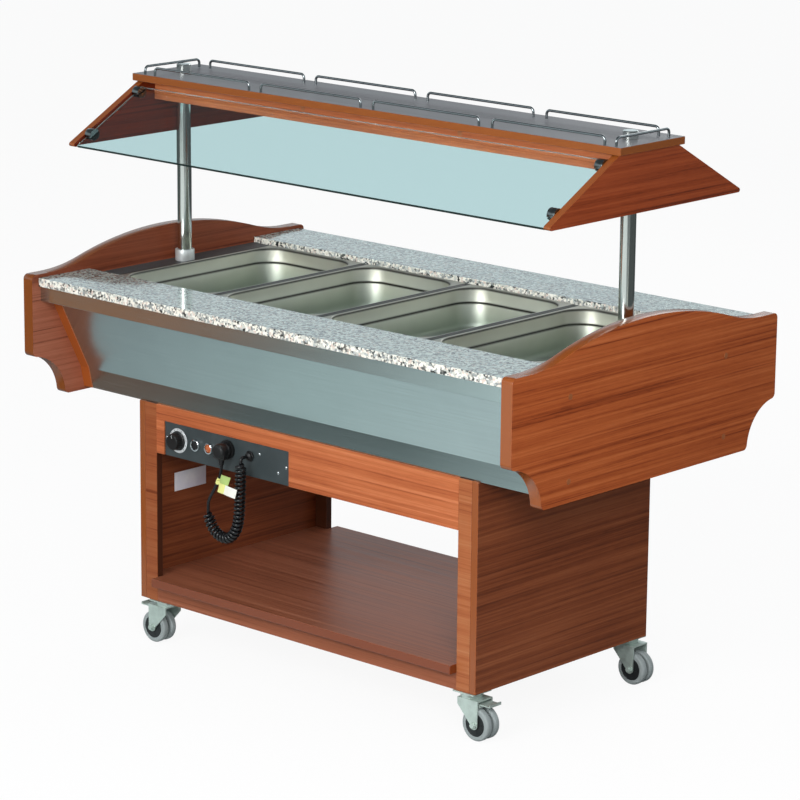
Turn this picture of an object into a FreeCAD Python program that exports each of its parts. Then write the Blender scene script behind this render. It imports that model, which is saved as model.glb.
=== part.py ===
import FreeCAD, Part
import math
import os
import re

import Sketcher

# Heated buffet counter on casters, in millimetres.
# X runs along the counter, the front faces -Y, and the floor is Z 0.

doc = FreeCAD.newDocument("buffet_counter")
vector = FreeCAD.Vector

# Driving dimensions, each set by itself
driving = {
    "overall_length": 1490,
    "overall_depth": 900,
    "counter_height": 863,
    # end panels
    "end_panel_thickness": 30,
    "end_panel_bottom": 575,
    "shoulder_rise": 8,
    "crest_rise": 62,
    "crest_margin": 50,
    "crest_radius": 930,
    "cove_radius": 103,
    "cove_offset": 5,
    "panel_corner": 12,
    # granite and the frame under it
    "granite_thickness": 20,
    "granite_setback": 19,
    "granite_width": 158,
    "frame_height": 35,
    "frame_setback": 6,
    "frame_bearing_width": 17,
    "frame_end_width": 60,
    # cheeks, fascias and floor of the basin
    "cheek_thickness": 28,
    "fascia_top_inset": 58,
    "fascia_knee_inset": 146,
    "fascia_foot_inset": 157,
    "knee_rise": 50,
    "basin_bottom": 583,
    "fascia_inset": 2,
    "sheet_thickness": 1.5,
    "floor_thickness": 18,
    # well and pans
    "post_room": 23,
    "pan_gap": 1,
    "pan_margin": 7,
    "pan_depth": 100,
    "pan_wall": 1,
    "pan_corner": 46,
    "pan_step": 5,
    "pan_shoulder": 32,
    "pan_base_radius": 20,
    "rim_width": 14,
    "rim_thickness": 1.5,
    "rim_corner": 16,
    "rim_drop": 12,
    "well_ledge": 12,
    "tank_depth": 154,
    "deck_gap": 1,
    "bar_width": 16,
    "bar_height": 12,
    "heater_diameter": 8.5,
    "heater_spacing": 240,
    "heater_end_gap": 119.5,
    "heater_bend": 115,
    "heater_stub_length": 10,
    "heater_rise": 14,
    "heater_tail": 24,
    "saddle_width": 20,
    "saddle_gap": 15,
    # drain
    "drain_x": 300,
    "drain_pipe": 27,
    "drain_bore": 20,
    "drain_flange": 44,
    "drain_flange_height": 3,
    "valve_diameter": 42,
    "valve_length": 44,
    "valve_drop": 63,
    "outlet_drop": 109,
    "bonnet_diameter": 16,
    "bonnet_reach": 28,
    "stem_diameter": 8,
    "lever_length": 92,
    "lever_width": 12,
    "lever_thickness": 4,
    "lever_gap": 3,
    # base
    "base_length": 1046,
    "base_recess": 155,
    "side_thickness": 18,
    "stile_width": 38,
    "front_thickness": 18,
    "apron_height": 117,
    "rail_height": 39,
    "shelf_thickness": 20,
    "shelf_nose": 20,
    "shelf_gap": 0.5,
    "batten_width": 105,
    # controls
    "plate_edge": 26.5,
    "plate_width": 400,
    "plate_height": 80,
    "plate_recess": 3,
    "plate_thickness": 2,
    "plate_gap": 0.5,
    "box_depth": 95,
    "box_wall": 1.2,
    "box_margin": 3,
    "box_flange": 14,
    "control_row": 41,
    "knob_inset": 43.5,
    "knob_diameter": 44,
    "knob_height": 20,
    "knob_taper": 3,
    "knob_gap": 2.5,
    "pointer_width": 3,
    "shaft_diameter": 6,
    "shaft_length": 28,
    "ring_diameter": 58,
    "ring_width": 6,
    "ring_thickness": 1.5,
    "thermostat_size": 44,
    "thermostat_depth": 36,
    "bushing_diameter": 12,
    "button_inset": 102.5,
    "button_diameter": 18,
    "button_stand": 6,
    "button_length": 18,
    "button_travel": 3,
    "bezel_diameter": 28,
    "bezel_height": 3,
    "switch_diameter": 22,
    "switch_depth": 32,
    "lamp_inset": 145.5,
    "lamp_diameter": 19,
    "lamp_bezel": 26,
    "lamp_body": 16,
    "lamp_depth": 26,
    "lens_height": 7,
    "lens_dome": 14,
    "running_gap": 0.1,
    # plug, gland and cord
    "plug_inset": 205.5,
    "plug_row": 50,
    "plug_diameter": 38,
    "plug_length": 30,
    "plug_boss": 14,
    "plug_boss_drop": 34,
    "pin_diameter": 4.8,
    "pin_length": 18,
    "pin_spacing": 19,
    "holder_diameter": 44,
    "holder_height": 6,
    "holder_sleeve": 34,
    "holder_depth": 22,
    "gland_inset": 277.5,
    "gland_row": 48,
    "gland_neck": 12,
    "gland_flange": 24,
    "gland_flange_height": 5,
    "gland_nose": 12,
    "gland_length": 12,
    "gland_nut": 20,
    "gland_nut_height": 6,
    "cord_diameter": 7.4,
    "coil_diameter": 27,
    "coil_turns": 30,
    "coil_exit": 4,
    "coil_elbow": 15,
    "coil_drop": 129,
    "coil_bend": 52.5,
    "tail_exit": 18,
    "tail_entry": 20,
    "tail_bow": 3,
    "tag_length": 14,
    "tag_gap": 0.4,
    "tag_sleeve": 11,
    "tag_flag": 46,
    "tag_height": 26,
    "tag_thickness": 0.8,
    # canopy
    "canopy_setback": 9,
    "canopy_depth": 218,
    "canopy_top": 1304,
    "board_thickness": 17,
    "canopy_end_inset": 9,
    "canopy_end_thickness": 18,
    "canopy_end_top": 98,
    "canopy_end_tip": 334,
    "canopy_end_drop": 148,
    "tip_radius": 5,
    "canopy_rail_height": 49,
    "canopy_rail_thickness": 18,
    "canopy_rail_face": 62,
    "glass_thickness": 6,
    "glass_gap": 3,
    "glass_sink": 6,
    "glass_start": 19,
    "glass_length": 236,
    "clamp_diameter": 30,
    "clamp_length": 20,
    "clamp_low": 66,
    "clamp_high": 238,
    "post_edge": 61,
    "post_diameter": 34,
    "post_wall": 1.5,
    "post_cap": 18,
    "post_foot": 6,
    "post_stud": 16,
    "stud_reach": 12,
    "collar_diameter": 46,
    "collar_height": 28,
    "upper_collar_height": 20,
    "stud_nut": 22,
    "stud_nut_height": 8,
    "gallery_rod": 6,
    "gallery_height": 22,
    "gallery_bend": 9,
    "gallery_break": 38,
    "gallery_margin": 40,
    "gallery_shift": 14,
    "gallery_front_edge": 4,
    "gallery_back_edge": 34,
    "gallery_end_span": 176,
    "gallery_left_edge": 38,
    "gallery_right_edge": 16,
    # casters
    "caster_height": 107,
    "caster_edge_left": 60,
    "caster_edge_right": 33,
    "caster_edge_y": 27,
    "caster_plate": 60,
    "caster_plate_thickness": 3,
    "race_diameter": 50,
    "king_pin": 12,
    "king_pin_head": 20,
    "king_pin_head_height": 3,
    "swivel_gap": 0.3,
    "crown_height": 93,
    "crown_lead": 20,
    "crown_tail": 38,
    "cheek_height": 16,
    "fork_thickness": 3,
    "fork_gap": 0.5,
    "caster_trail": 27,
    "wheel_diameter": 75,
    "tyre_width": 16.5,
    "wheel_gap": 8,
    "hub_diameter": 53,
    "hub_spool": 26,
    "hub_boss": 18,
    "hub_boss_height": 1,
    "tyre_shoulder": 5,
    "axle_diameter": 8,
    "axle_head": 15,
    "axle_head_height": 4,
    "leg_foot": 10,
    "pedal_pin": 5,
    "pedal_barrel": 9,
    "pedal_pivot_x": 24,
    "pedal_pivot_z": 84,
    "pedal_width": 38,
    "pedal_reach": 44,
    "pedal_thickness": 2.5,
    "pedal_lip": 4,
    "shoe_lead": 7,
    "shoe_width": 8,
    "shoe_drop": 7,
}

# Places that follow from the driving dimensions
derived = {
    "half_depth": "overall_depth / 2",
    "panel_inner": "overall_length / 2 - end_panel_thickness",
    "shoulder_z": "counter_height + shoulder_rise",
    "crest_z": "shoulder_z + crest_rise",
    "crest_run": "half_depth - crest_margin",
    "crest_arcs": "(crest_run ^ 2 + crest_rise ^ 2) / (2 * crest_rise)",
    "hollow_radius": "crest_arcs - crest_radius",
    "crest_turn_y": "crest_run * crest_radius / crest_arcs",
    "crest_turn_z": "crest_z - crest_rise * crest_radius / crest_arcs",
    "cove_foot": "half_depth + cove_offset - cove_radius",
    "cove_top": "end_panel_bottom + sqrt(cove_radius ^ 2 - cove_offset ^ 2)",
    "granite_front": "half_depth - granite_setback",
    "granite_inner": "granite_front - granite_width",
    "frame_top": "counter_height - granite_thickness",
    "frame_bottom": "frame_top - frame_height",
    "frame_front": "granite_front - frame_setback",
    "frame_inner": "granite_inner - frame_bearing_width",
    "frame_end": "panel_inner - frame_end_width",
    "cheek_inner": "panel_inner - cheek_thickness",
    "fascia_top": "half_depth - fascia_top_inset",
    "fascia_knee": "half_depth - fascia_knee_inset",
    "fascia_foot": "half_depth - fascia_foot_inset",
    "knee_height": "basin_bottom + knee_rise",
    "steel_top": "fascia_top - fascia_inset",
    "steel_knee": "fascia_knee - fascia_inset",
    "steel_foot": "fascia_foot - fascia_inset",
    "floor_edge": "steel_foot - sheet_thickness",
    "floor_top": "basin_bottom + floor_thickness",
    "deck_top": "counter_height - rim_drop - rim_thickness",
    "deck_under": "deck_top - sheet_thickness",
    "deck_y": "granite_inner - deck_gap",
    "deck_x": "panel_inner - deck_gap",
    "canopy_length": "overall_length - 2 * canopy_setback",
    "canopy_half": "canopy_length / 2",
    "post_x": "canopy_half - post_edge",
    "pan_pitch": "(post_x - post_room) / 2",
    "pan_width": "pan_pitch - pan_gap",
    "pan_length": "2 * (deck_y - pan_margin)",
    "well_x": "1.5 * pan_pitch + pan_width / 2 - well_ledge",
    "well_y": "pan_length / 2 - well_ledge",
    "tank_under": "deck_top - tank_depth",
    "tank_floor": "tank_under + sheet_thickness",
    "heater_end": "well_x - heater_end_gap",
    "heater_leg": "heater_end - heater_bend - heater_stub_length",
    "saddle_spacing": "heater_leg - saddle_gap",
    "heater_z": "tank_floor + heater_rise + heater_diameter / 2",
    "valve_height": "basin_bottom - valve_drop",
    "outlet_height": "basin_bottom - outlet_drop",
    "board_bottom": "canopy_top - board_thickness",
    "canopy_end_outer": "canopy_half - canopy_end_inset",
    "canopy_end_inner": "canopy_end_outer - canopy_end_thickness",
    "canopy_end_bottom": "canopy_top - canopy_end_drop",
    "slope_run": "canopy_end_tip - canopy_end_top",
    "slope_rise": "board_bottom - canopy_end_bottom",
    "slope_length": "sqrt(slope_run ^ 2 + slope_rise ^ 2)",
    "slope_along": "slope_run / slope_length",
    "slope_up": "slope_rise / slope_length",
    "glass_half": "canopy_end_inner - glass_gap",
    "post_hole": "post_diameter + 2 * running_gap",
    "stud_hole": "post_stud + 2 * running_gap",
    "post_top": "canopy_top + post_cap",
    "stud_bottom": "frame_bottom - stud_reach",
    "base_half": "base_length / 2",
    "base_front": "half_depth - base_recess",
    "side_inner": "base_half - side_thickness",
    "stile_inner": "side_inner - stile_width",
    "front_inner": "base_front - front_thickness",
    "apron_bottom": "basin_bottom - apron_height",
    "shelf_bottom": "caster_height + rail_height",
    "shelf_top": "shelf_bottom + shelf_thickness",
    "plate_left": "plate_edge - stile_inner",
    "plate_right": "plate_left + plate_width",
    "knob_x": "plate_left + knob_inset",
    "button_x": "plate_left + button_inset",
    "lamp_x": "plate_left + lamp_inset",
    "plug_x": "plate_left + plug_inset",
    "gland_x": "plate_left + gland_inset",
    "plate_top": "apron_bottom + plate_height",
    "plate_face": "base_front - plate_recess",
    "plate_back": "plate_face - plate_thickness",
    "control_z": "apron_bottom + control_row",
    "plug_z": "apron_bottom + plug_row",
    "gland_z": "apron_bottom + gland_row",
    "gland_face": "plate_face + gland_length",
    "holder_face": "plate_face + holder_height",
    "bezel_face": "plate_face + bezel_height",
    "knob_back": "plate_face + knob_gap",
    "button_face": "plate_face + button_stand",
    "gallery_pitch": "(canopy_length - 2 * gallery_margin) / 4",
    "gallery_span": "gallery_pitch - gallery_break",
    "caster_left": "base_half - caster_edge_left",
    "caster_right": "base_half - caster_edge_right",
    "caster_y": "base_front - caster_edge_y",
    "axle_z": "wheel_diameter / 2",
    "crown_bottom": "crown_height - fork_thickness",
    "race_bottom": "crown_height + swivel_gap",
    "plate_under": "caster_height - caster_plate_thickness",
    "hub_half": "tyre_width + wheel_gap / 2",
    "fork_inner": "hub_half + hub_boss_height + fork_gap",
    "fork_outer": "fork_inner + fork_thickness",
    "sleeve_bore": "shaft_diameter + 2 * running_gap",
}

sizes = doc.addObject("Spreadsheet::Sheet", "sizes")
places = doc.addObject("Spreadsheet::Sheet", "places")
scratch_cell = "D1"


def bound(text, own_sheet=None):
    """Puts the name of its sheet before each size or place in an expression."""
    def with_sheet(word):
        name = word.group()
        for sheet, names in ((sizes, driving), (places, derived)):
            if name in names:
                return name if sheet is own_sheet else f"{sheet.Name}.{name}"
        return name
    return re.sub(r"[a-z_]\w*", with_sheet, text)


for row, (alias, amount) in enumerate(driving.items(), start=1):
    sizes.set(f"A{row}", alias.replace("_", " "))
    sizes.set(f"B{row}", str(amount))
    sizes.setAlias(f"B{row}", alias)
doc.recompute()
for row, (alias, formula) in enumerate(derived.items(), start=1):
    places.setAlias(f"B{row}", alias)
for row, (alias, formula) in enumerate(derived.items(), start=1):
    places.set(f"A{row}", alias.replace("_", " "))
    places.set(f"B{row}", "=" + bound(formula, places))
doc.recompute()

nodes = []


def number(text):
    """The present value of an expression."""
    places.set(scratch_cell, "=" + bound(text, places))
    places.recompute()
    return float(places.get(scratch_cell))


def keep(label, piece):
    """Names a finished sub-part, which becomes a file of its own."""
    piece.Label = label
    nodes.append(piece)
    return piece


def bind(piece, fields):
    for field, text in fields.items():
        piece.setExpression(field, bound(text))
    return piece


def place(piece, x="0", y="0", z="0", turn=None):
    if turn:
        piece.Placement = FreeCAD.Placement(vector(), turn)
    return bind(piece, {"Placement.Base.x": x, "Placement.Base.y": y, "Placement.Base.z": z})


turns = {
    "x": FreeCAD.Rotation(vector(0, 1, 0), 90),
    "y": FreeCAD.Rotation(vector(1, 0, 0), -90),
    "-y": FreeCAD.Rotation(vector(1, 0, 0), 90),
    "z": FreeCAD.Rotation(),
}


def block(name, x, y, z):
    """A box between pairs of coordinates."""
    piece = doc.addObject("Part::Box", name)
    spans = zip(("Length", "Width", "Height"), (x, y, z))
    bind(piece, {field: f"({high}) - ({low})" for field, (low, high) in spans})
    return place(piece, x[0], y[0], z[0])


def rod(name, diameter, length, x, y, z, along="z"):
    """A cylinder that starts at a point and runs along an axis."""
    piece = doc.addObject("Part::Cylinder", name)
    bind(piece, {"Radius": f"({diameter}) / 2", "Height": length})
    return place(piece, x, y, z, turns[along])


def joined(name, *pieces):
    piece = doc.addObject("Part::MultiFuse", name)
    piece.Shapes = list(pieces)
    return piece


def cut(name, base, *tools):
    piece = doc.addObject("Part::Cut", name)
    piece.Base = base
    piece.Tool = tools[0] if len(tools) == 1 else joined(name + "_tools", *tools)
    return piece


def several(name, *pieces):
    """Separate solids that share one node."""
    piece = doc.addObject("Part::Compound", name)
    piece.Links = list(pieces)
    return piece


def mirrored(name, source, normal):
    piece = doc.addObject("Part::Mirroring", name)
    piece.Source = source
    piece.Normal = normal
    return piece


front_to_back = vector(0, 1, 0)
left_to_right = vector(1, 0, 0)


def arc_between(start, end, radius):
    """An arc that turns left from start to end for a positive radius, and right for a negative one."""
    chord = end - start
    left = vector(-chord.y, chord.x, 0).normalize()
    reach = math.sqrt(radius ** 2 - (chord.Length / 2) ** 2)
    centre = (start + end) / 2 + left * math.copysign(reach, radius)
    angles = [math.atan2(point.y - centre.y, point.x - centre.x) for point in (start, end)]
    if radius < 0:
        angles.reverse()
    if angles[1] < angles[0]:
        angles[1] += 2 * math.pi
    return Part.ArcOfCircle(Part.Circle(centre, vector(0, 0, 1), abs(radius)), *angles)


def outline(body, plane, corners, bows):
    """A closed sketch through corners, where bows gives the radius of the stretch after a corner."""
    sketch = body.newObject("Sketcher::SketchObject", body.Name + "_outline")
    support = next(item for item in body.Origin.OriginFeatures if item.Role == plane)
    sketch.AttachmentSupport = [(support, "")]
    sketch.MapMode = "FlatFace"
    points = [vector(number(across), number(up), 0) for across, up in corners]
    ends = []
    for index, start in enumerate(points):
        end = points[(index + 1) % len(points)]
        if index in bows:
            sign, radius = bows[index]
            sketch.addGeometry(arc_between(start, end, sign * number(radius)))
            ends.append((1, 2) if sign > 0 else (2, 1))
        else:
            sketch.addGeometry(Part.LineSegment(start, end))
            ends.append((1, 2))
    for index in range(len(points)):
        follower = (index + 1) % len(points)
        link = Sketcher.Constraint("Coincident", index, ends[index][1], follower, ends[follower][0])
        sketch.addConstraint(link)
    origin, start_point, upright = -1, 1, -2
    for index, (across, up) in enumerate(corners):
        own_point = ends[index][0]
        for kind, text, amount in (("X", across, points[index].x), ("Y", up, points[index].y)):
            if text == "0" and kind == "X":
                sketch.addConstraint(Sketcher.Constraint("PointOnObject", index, own_point, upright))
                continue
            distance = Sketcher.Constraint("Distance" + kind, origin, start_point, index, own_point, amount)
            datum = sketch.addConstraint(distance)
            sketch.setExpression(f"Constraints[{datum}]", bound(text))
    for index, (sign, radius) in bows.items():
        datum = sketch.addConstraint(Sketcher.Constraint("Radius", index, number(radius)))
        sketch.setExpression(f"Constraints[{datum}]", bound(radius))
    return sketch


def padded(name, plane, corners, length, bows=None):
    """A plate cut to an outline."""
    body = doc.addObject("PartDesign::Body", name)
    sketch = outline(body, plane, corners, bows or {})
    pad = body.newObject("PartDesign::Pad", name + "_pad")
    pad.Profile = sketch
    bind(pad, {"Length": length})
    return body


def turned(name, corners, bows=None):
    """A piece turned about its own Z axis, from corners given as radius and height."""
    body = doc.addObject("PartDesign::Body", name)
    sketch = outline(body, "XZ_Plane", corners, bows or {})
    revolution = body.newObject("PartDesign::Revolution", name + "_turn")
    revolution.Profile = sketch
    revolution.ReferenceAxis = (sketch, ["V_Axis"])
    revolution.Angle = 360
    return body


def round_corners(body, radius, corners):
    """Rounds the edges of a YZ plate that stand on some of its outline's corners."""
    doc.recompute()
    plate = body.Tip
    wanted = [(number(across), number(up)) for across, up in corners]
    near = 0.01
    chosen = []
    for index, edge in enumerate(plate.Shape.Edges, start=1):
        spots = [(vertex.Y, vertex.Z) for vertex in edge.Vertexes]
        if any(all(math.dist(spot, corner) < near for spot in spots) for corner in wanted):
            chosen.append(f"Edge{index}")
    fillet = body.newObject("PartDesign::Fillet", body.Name + "_round")
    fillet.Base = (plate, chosen)
    bind(fillet, {"Radius": radius})


def bent_path(points, bends):
    """Straight runs joined by tangent arcs, one bend radius for each inner point."""
    edges = []
    start = points[0]
    for before, corner, after, bend in zip(points, points[1:], points[2:], bends):
        arriving = (corner - before).normalize()
        leaving = (after - corner).normalize()
        half_turn = arriving.getAngle(leaving) / 2
        reach = bend * math.tan(half_turn)
        entry = corner - arriving * reach
        exit_point = corner + leaving * reach
        inward = (leaving - arriving).normalize()
        middle = corner + inward * (bend / math.cos(half_turn) - bend)
        edges.append(Part.LineSegment(start, entry).toShape())
        edges.append(Part.Arc(entry, middle, exit_point).toShape())
        start = exit_point
    edges.append(Part.LineSegment(start, points[-1]).toShape())
    return Part.Wire(edges)


def tube_along(wire, diameter):
    """A round solid swept along a wire."""
    first = wire.OrderedEdges[0]
    heading = first.tangentAt(first.FirstParameter)
    ring = Part.Circle(first.valueAt(first.FirstParameter), heading, diameter / 2)
    section = Part.Wire([ring.toShape()])
    return wire.makePipeShell([section], True, False)


def shaped(name, shape):
    """A piece whose form is swept or drawn."""
    piece = doc.addObject("Part::Feature", name)
    piece.Shape = shape
    return piece


# End panels, with a raised middle and coved lower corners
panel_corners = [
    ("-cove_foot", "end_panel_bottom"),
    ("cove_foot", "end_panel_bottom"),
    ("half_depth", "cove_top"),
    ("half_depth", "shoulder_z"),
    ("crest_run", "shoulder_z"),
    ("crest_turn_y", "crest_turn_z"),
    ("-crest_turn_y", "crest_turn_z"),
    ("-crest_run", "shoulder_z"),
    ("-half_depth", "shoulder_z"),
    ("-half_depth", "cove_top"),
]
panel_bows = {
    1: (-1, "cove_radius"),
    4: (-1, "hollow_radius"),
    5: (1, "crest_radius"),
    6: (-1, "hollow_radius"),
    9: (-1, "cove_radius"),
}
rounded_panel_corners = [panel_corners[index] for index in (0, 1, 2, 3, 8, 9)]
for side, start in (("left", "-overall_length / 2"), ("right", "panel_inner")):
    panel = padded("panel_" + side, "YZ_Plane", panel_corners, "end_panel_thickness", panel_bows)
    round_corners(panel, "panel_corner", rounded_panel_corners)
    keep("end_panel_" + side, place(panel, start))

# Cheeks, the inner boards that give the front its slope
cheek_corners = [
    ("-fascia_foot", "basin_bottom"),
    ("fascia_foot", "basin_bottom"),
    ("fascia_knee", "knee_height"),
    ("fascia_top", "frame_bottom"),
    ("-fascia_top", "frame_bottom"),
    ("-fascia_knee", "knee_height"),
]
cheek_boards = []
for side, start in (("left", "-panel_inner"), ("right", "cheek_inner")):
    cheek = padded("cheek_" + side, "YZ_Plane", cheek_corners, "cheek_thickness")
    cheek_boards.append(place(cheek, start))
keep("cheeks", several("cheek_pair", *cheek_boards))

# Steel fascias, folded at the knee
fascia_corners = [
    ("-steel_foot", "basin_bottom"),
    ("-steel_foot + sheet_thickness", "basin_bottom"),
    ("-steel_knee + sheet_thickness", "knee_height"),
    ("-steel_top + sheet_thickness", "frame_bottom"),
    ("-steel_top", "frame_bottom"),
    ("-steel_knee", "knee_height"),
]
fascia_front = padded("front_sheet", "YZ_Plane", fascia_corners, "2 * cheek_inner")
place(fascia_front, "-cheek_inner")
keep("fascias", several("fascia_pair", fascia_front, mirrored("back_sheet", fascia_front, front_to_back)))

# Granite strips and the wooden frame that carries them
granite_front = block(
    "front_strip", ("-panel_inner", "panel_inner"), ("-granite_front", "-granite_inner"),
    ("frame_top", "counter_height"))
keep("granite_slabs", several("granite_pair", granite_front,
                              mirrored("back_strip", granite_front, front_to_back)))
frame_front = block(
    "frame_front_board", ("-panel_inner", "panel_inner"), ("-frame_front", "-frame_inner"),
    ("frame_bottom", "frame_top"))
frame_end = cut(
    "frame_right_board",
    block("frame_end_blank", ("frame_end", "panel_inner"), ("-frame_inner", "frame_inner"),
          ("frame_bottom", "frame_top")),
    rod("frame_stud_hole", "stud_hole", "frame_height", "post_x", "0", "frame_bottom"))
keep("counter_frame", several(
    "frame_boards", frame_front, mirrored("frame_back_board", frame_front, front_to_back),
    frame_end, mirrored("frame_left_board", frame_end, left_to_right)))

# Basin floor, with the hole for the drain pipe
basin_floor = cut(
    "floor_board",
    block("floor_blank", ("-cheek_inner", "cheek_inner"), ("-floor_edge", "floor_edge"),
          ("basin_bottom", "floor_top")),
    rod("floor_drain_hole", "drain_pipe + 2 * running_gap", "floor_thickness", "drain_x", "0",
        "basin_bottom"))
keep("basin_floor", basin_floor)

# Well tank of welded sheets: a deck, a lip that stands on the frame, walls and a floor
deck_front = block("deck_front", ("-deck_x", "deck_x"), ("-deck_y", "-well_y"), ("deck_under", "deck_top"))
deck_right = cut(
    "deck_right",
    block("deck_right_blank", ("well_x", "deck_x"), ("-well_y", "well_y"), ("deck_under", "deck_top")),
    rod("deck_stud_hole", "stud_hole", "sheet_thickness", "post_x", "0", "deck_under"))
lip_front = block("lip_front", ("-deck_x", "deck_x"), ("-deck_y", "-deck_y + sheet_thickness"),
                  ("frame_top", "deck_under"))
lip_right = block("lip_right", ("deck_x - sheet_thickness", "deck_x"),
                  ("-deck_y + sheet_thickness", "deck_y - sheet_thickness"), ("frame_top", "deck_under"))
wall_front = block("wall_front", ("-well_x - sheet_thickness", "well_x + sheet_thickness"),
                   ("-well_y - sheet_thickness", "-well_y"), ("tank_floor", "deck_under"))
wall_right = block("wall_right", ("well_x", "well_x + sheet_thickness"), ("-well_y", "well_y"),
                   ("tank_floor", "deck_under"))
heater_holes = [
    rod("tank_heater_hole_" + side, "heater_diameter + 2 * running_gap", "2 * sheet_thickness",
        "-well_x - 2 * sheet_thickness", sign + "heater_spacing / 2", "heater_z", "x")
    for side, sign in (("front", "-"), ("back", ""))]
wall_left = cut("wall_left", mirrored("wall_left_blank", wall_right, left_to_right), *heater_holes)
tank_bottom = cut(
    "tank_bottom",
    block("tank_bottom_blank", ("-well_x - sheet_thickness", "well_x + sheet_thickness"),
          ("-well_y - sheet_thickness", "well_y + sheet_thickness"), ("tank_under", "tank_floor")),
    rod("tank_drain_hole", "drain_pipe + 2 * running_gap", "sheet_thickness", "drain_x", "0", "tank_under"))
keep("well_tank", several(
    "tank_sheets", tank_bottom, wall_left, wall_right,
    wall_front, mirrored("wall_back", wall_front, front_to_back),
    deck_front, mirrored("deck_back", deck_front, front_to_back),
    deck_right, mirrored("deck_left", deck_right, left_to_right),
    lip_front, mirrored("lip_back", lip_front, front_to_back),
    lip_right, mirrored("lip_left", lip_right, left_to_right)))

# Cross bars between the pans
bars = [
    block(f"bar_{name}", (f"{centre} - bar_width / 2", f"{centre} + bar_width / 2"),
          ("-well_y", "well_y"), ("deck_top - bar_height", "deck_top"))
    for name, centre in (("left", "-pan_pitch"), ("middle", "0"), ("right", "pan_pitch"))]
keep("pan_bars", several("bar_set", *bars))


def rounded_block(width, length, bottom, top, corner, base_radius=0):
    """An upright box with round corners, and a round lower edge where that is asked for."""
    shape = Part.makeBox(width, length, top - bottom, vector(-width / 2, -length / 2, bottom))
    upright = [edge for edge in shape.Edges if abs(edge.tangentAt(edge.FirstParameter).z) > 0.5]
    shape = shape.makeFillet(corner, upright)
    if base_radius:
        lower = [edge for edge in shape.Edges if edge.BoundBox.ZMax < bottom + 0.01]
        shape = shape.makeFillet(base_radius, lower)
    return shape


def drawn_body(shrink, lift, top):
    """The drawn body of a pan, smaller by shrink on every side and with its floor raised by lift."""
    width = number("pan_width - 2 * rim_width") - 2 * shrink
    length = number("pan_length - 2 * rim_width") - 2 * shrink
    step = number("pan_step")
    corner = number("pan_corner") - shrink
    shoulder = -number("pan_shoulder") + lift
    bottom = number("rim_thickness - pan_depth") + lift
    upper = rounded_block(width, length, shoulder, top, corner)
    lower = rounded_block(width - 2 * step, length - 2 * step, bottom, shoulder, corner - step,
                          number("pan_base_radius") - shrink)
    return upper.fuse(lower)


def pan_shape():
    """A deep-drawn pan with a flat rim, its underside at Z 0."""
    rim_height = number("rim_thickness")
    wall = number("pan_wall")
    rim = rounded_block(number("pan_width"), number("pan_length"), 0, rim_height, number("rim_corner"))
    pan = rim.fuse(drawn_body(0, 0, rim_height))
    return pan.cut(drawn_body(wall, wall, rim_height)).removeSplitter()


drawn_pan = pan_shape()
pan_places = {"pan_1": "-1.5 * pan_pitch", "pan_2": "-0.5 * pan_pitch",
              "pan_3": "0.5 * pan_pitch", "pan_4": "1.5 * pan_pitch"}
for label, across in pan_places.items():
    keep(label, place(shaped(label, drawn_pan), across, "0", "deck_top"))

# Heating element, two straight legs and a bend, on saddles over the tank floor
leg_front = rod("leg_front", "heater_diameter", "well_x + heater_tail + heater_leg",
                "-well_x - heater_tail", "-heater_spacing / 2", "heater_z", "x")
leg_end = number("heater_leg")
hairpin_end = number("heater_end")
hairpin_side = number("heater_spacing / 2")
hairpin_z = number("heater_z")
hairpin_points = [
    vector(leg_end, -hairpin_side, hairpin_z),
    vector(hairpin_end, -hairpin_side, hairpin_z),
    vector(hairpin_end, hairpin_side, hairpin_z),
    vector(leg_end, hairpin_side, hairpin_z),
]
hairpin_path = bent_path(hairpin_points, [number("heater_bend")] * 2)
hairpin = shaped("hairpin", tube_along(hairpin_path, number("heater_diameter")))
saddles = [
    block(f"saddle_{name}", (f"{centre} - saddle_width / 2", f"{centre} + saddle_width / 2"),
          ("-heater_spacing / 2 - saddle_width", "heater_spacing / 2 + saddle_width"),
          ("tank_floor", "heater_z - heater_diameter / 2"))
    for name, centre in (("left", "-saddle_spacing"), ("middle", "0"), ("right", "saddle_spacing"))]
keep("heating_element", several("heater_set", leg_front, mirrored("leg_back", leg_front, front_to_back),
                                hairpin, *saddles))

# Drain pipe with its ball valve, and the lever
pipe_corners = [
    ("drain_bore / 2", "outlet_height"),
    ("drain_pipe / 2", "outlet_height"),
    ("drain_pipe / 2", "valve_height - valve_length / 2"),
    ("valve_diameter / 2", "valve_height - valve_length / 2"),
    ("valve_diameter / 2", "valve_height + valve_length / 2"),
    ("drain_pipe / 2", "valve_height + valve_length / 2"),
    ("drain_pipe / 2", "tank_floor"),
    ("drain_flange / 2", "tank_floor"),
    ("drain_flange / 2", "tank_floor + drain_flange_height"),
    ("drain_bore / 2", "tank_floor + drain_flange_height"),
]
pipe = place(turned("drain_pipe_body", pipe_corners), "drain_x")
bonnet = rod("bonnet", "bonnet_diameter", "bonnet_reach - drain_pipe / 2", "drain_x",
             "-drain_pipe / 2", "valve_height", "-y")
stem_start = "valve_diameter / 2 - lever_gap"
stem_bore = rod("stem_bore", "stem_diameter + 2 * running_gap", f"bonnet_reach - ({stem_start})", "drain_x",
                f"-({stem_start})", "valve_height", "-y")
keep("drain_valve", cut("valve", joined("valve_blank", pipe, bonnet), stem_bore))
lever_face = "bonnet_reach + lever_gap"
stem = rod("stem", "stem_diameter", f"{lever_face} - ({stem_start}) - running_gap", "drain_x",
           f"-({stem_start}) - running_gap", "valve_height", "-y")
lever_bar = block(
    "lever_bar", ("drain_x - lever_width / 2", "drain_x + lever_length"),
    (f"-({lever_face}) - lever_thickness", f"-({lever_face})"),
    ("valve_height - lever_width / 2", "valve_height + lever_width / 2"))
keep("drain_lever", joined("lever", stem, lever_bar))

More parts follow.
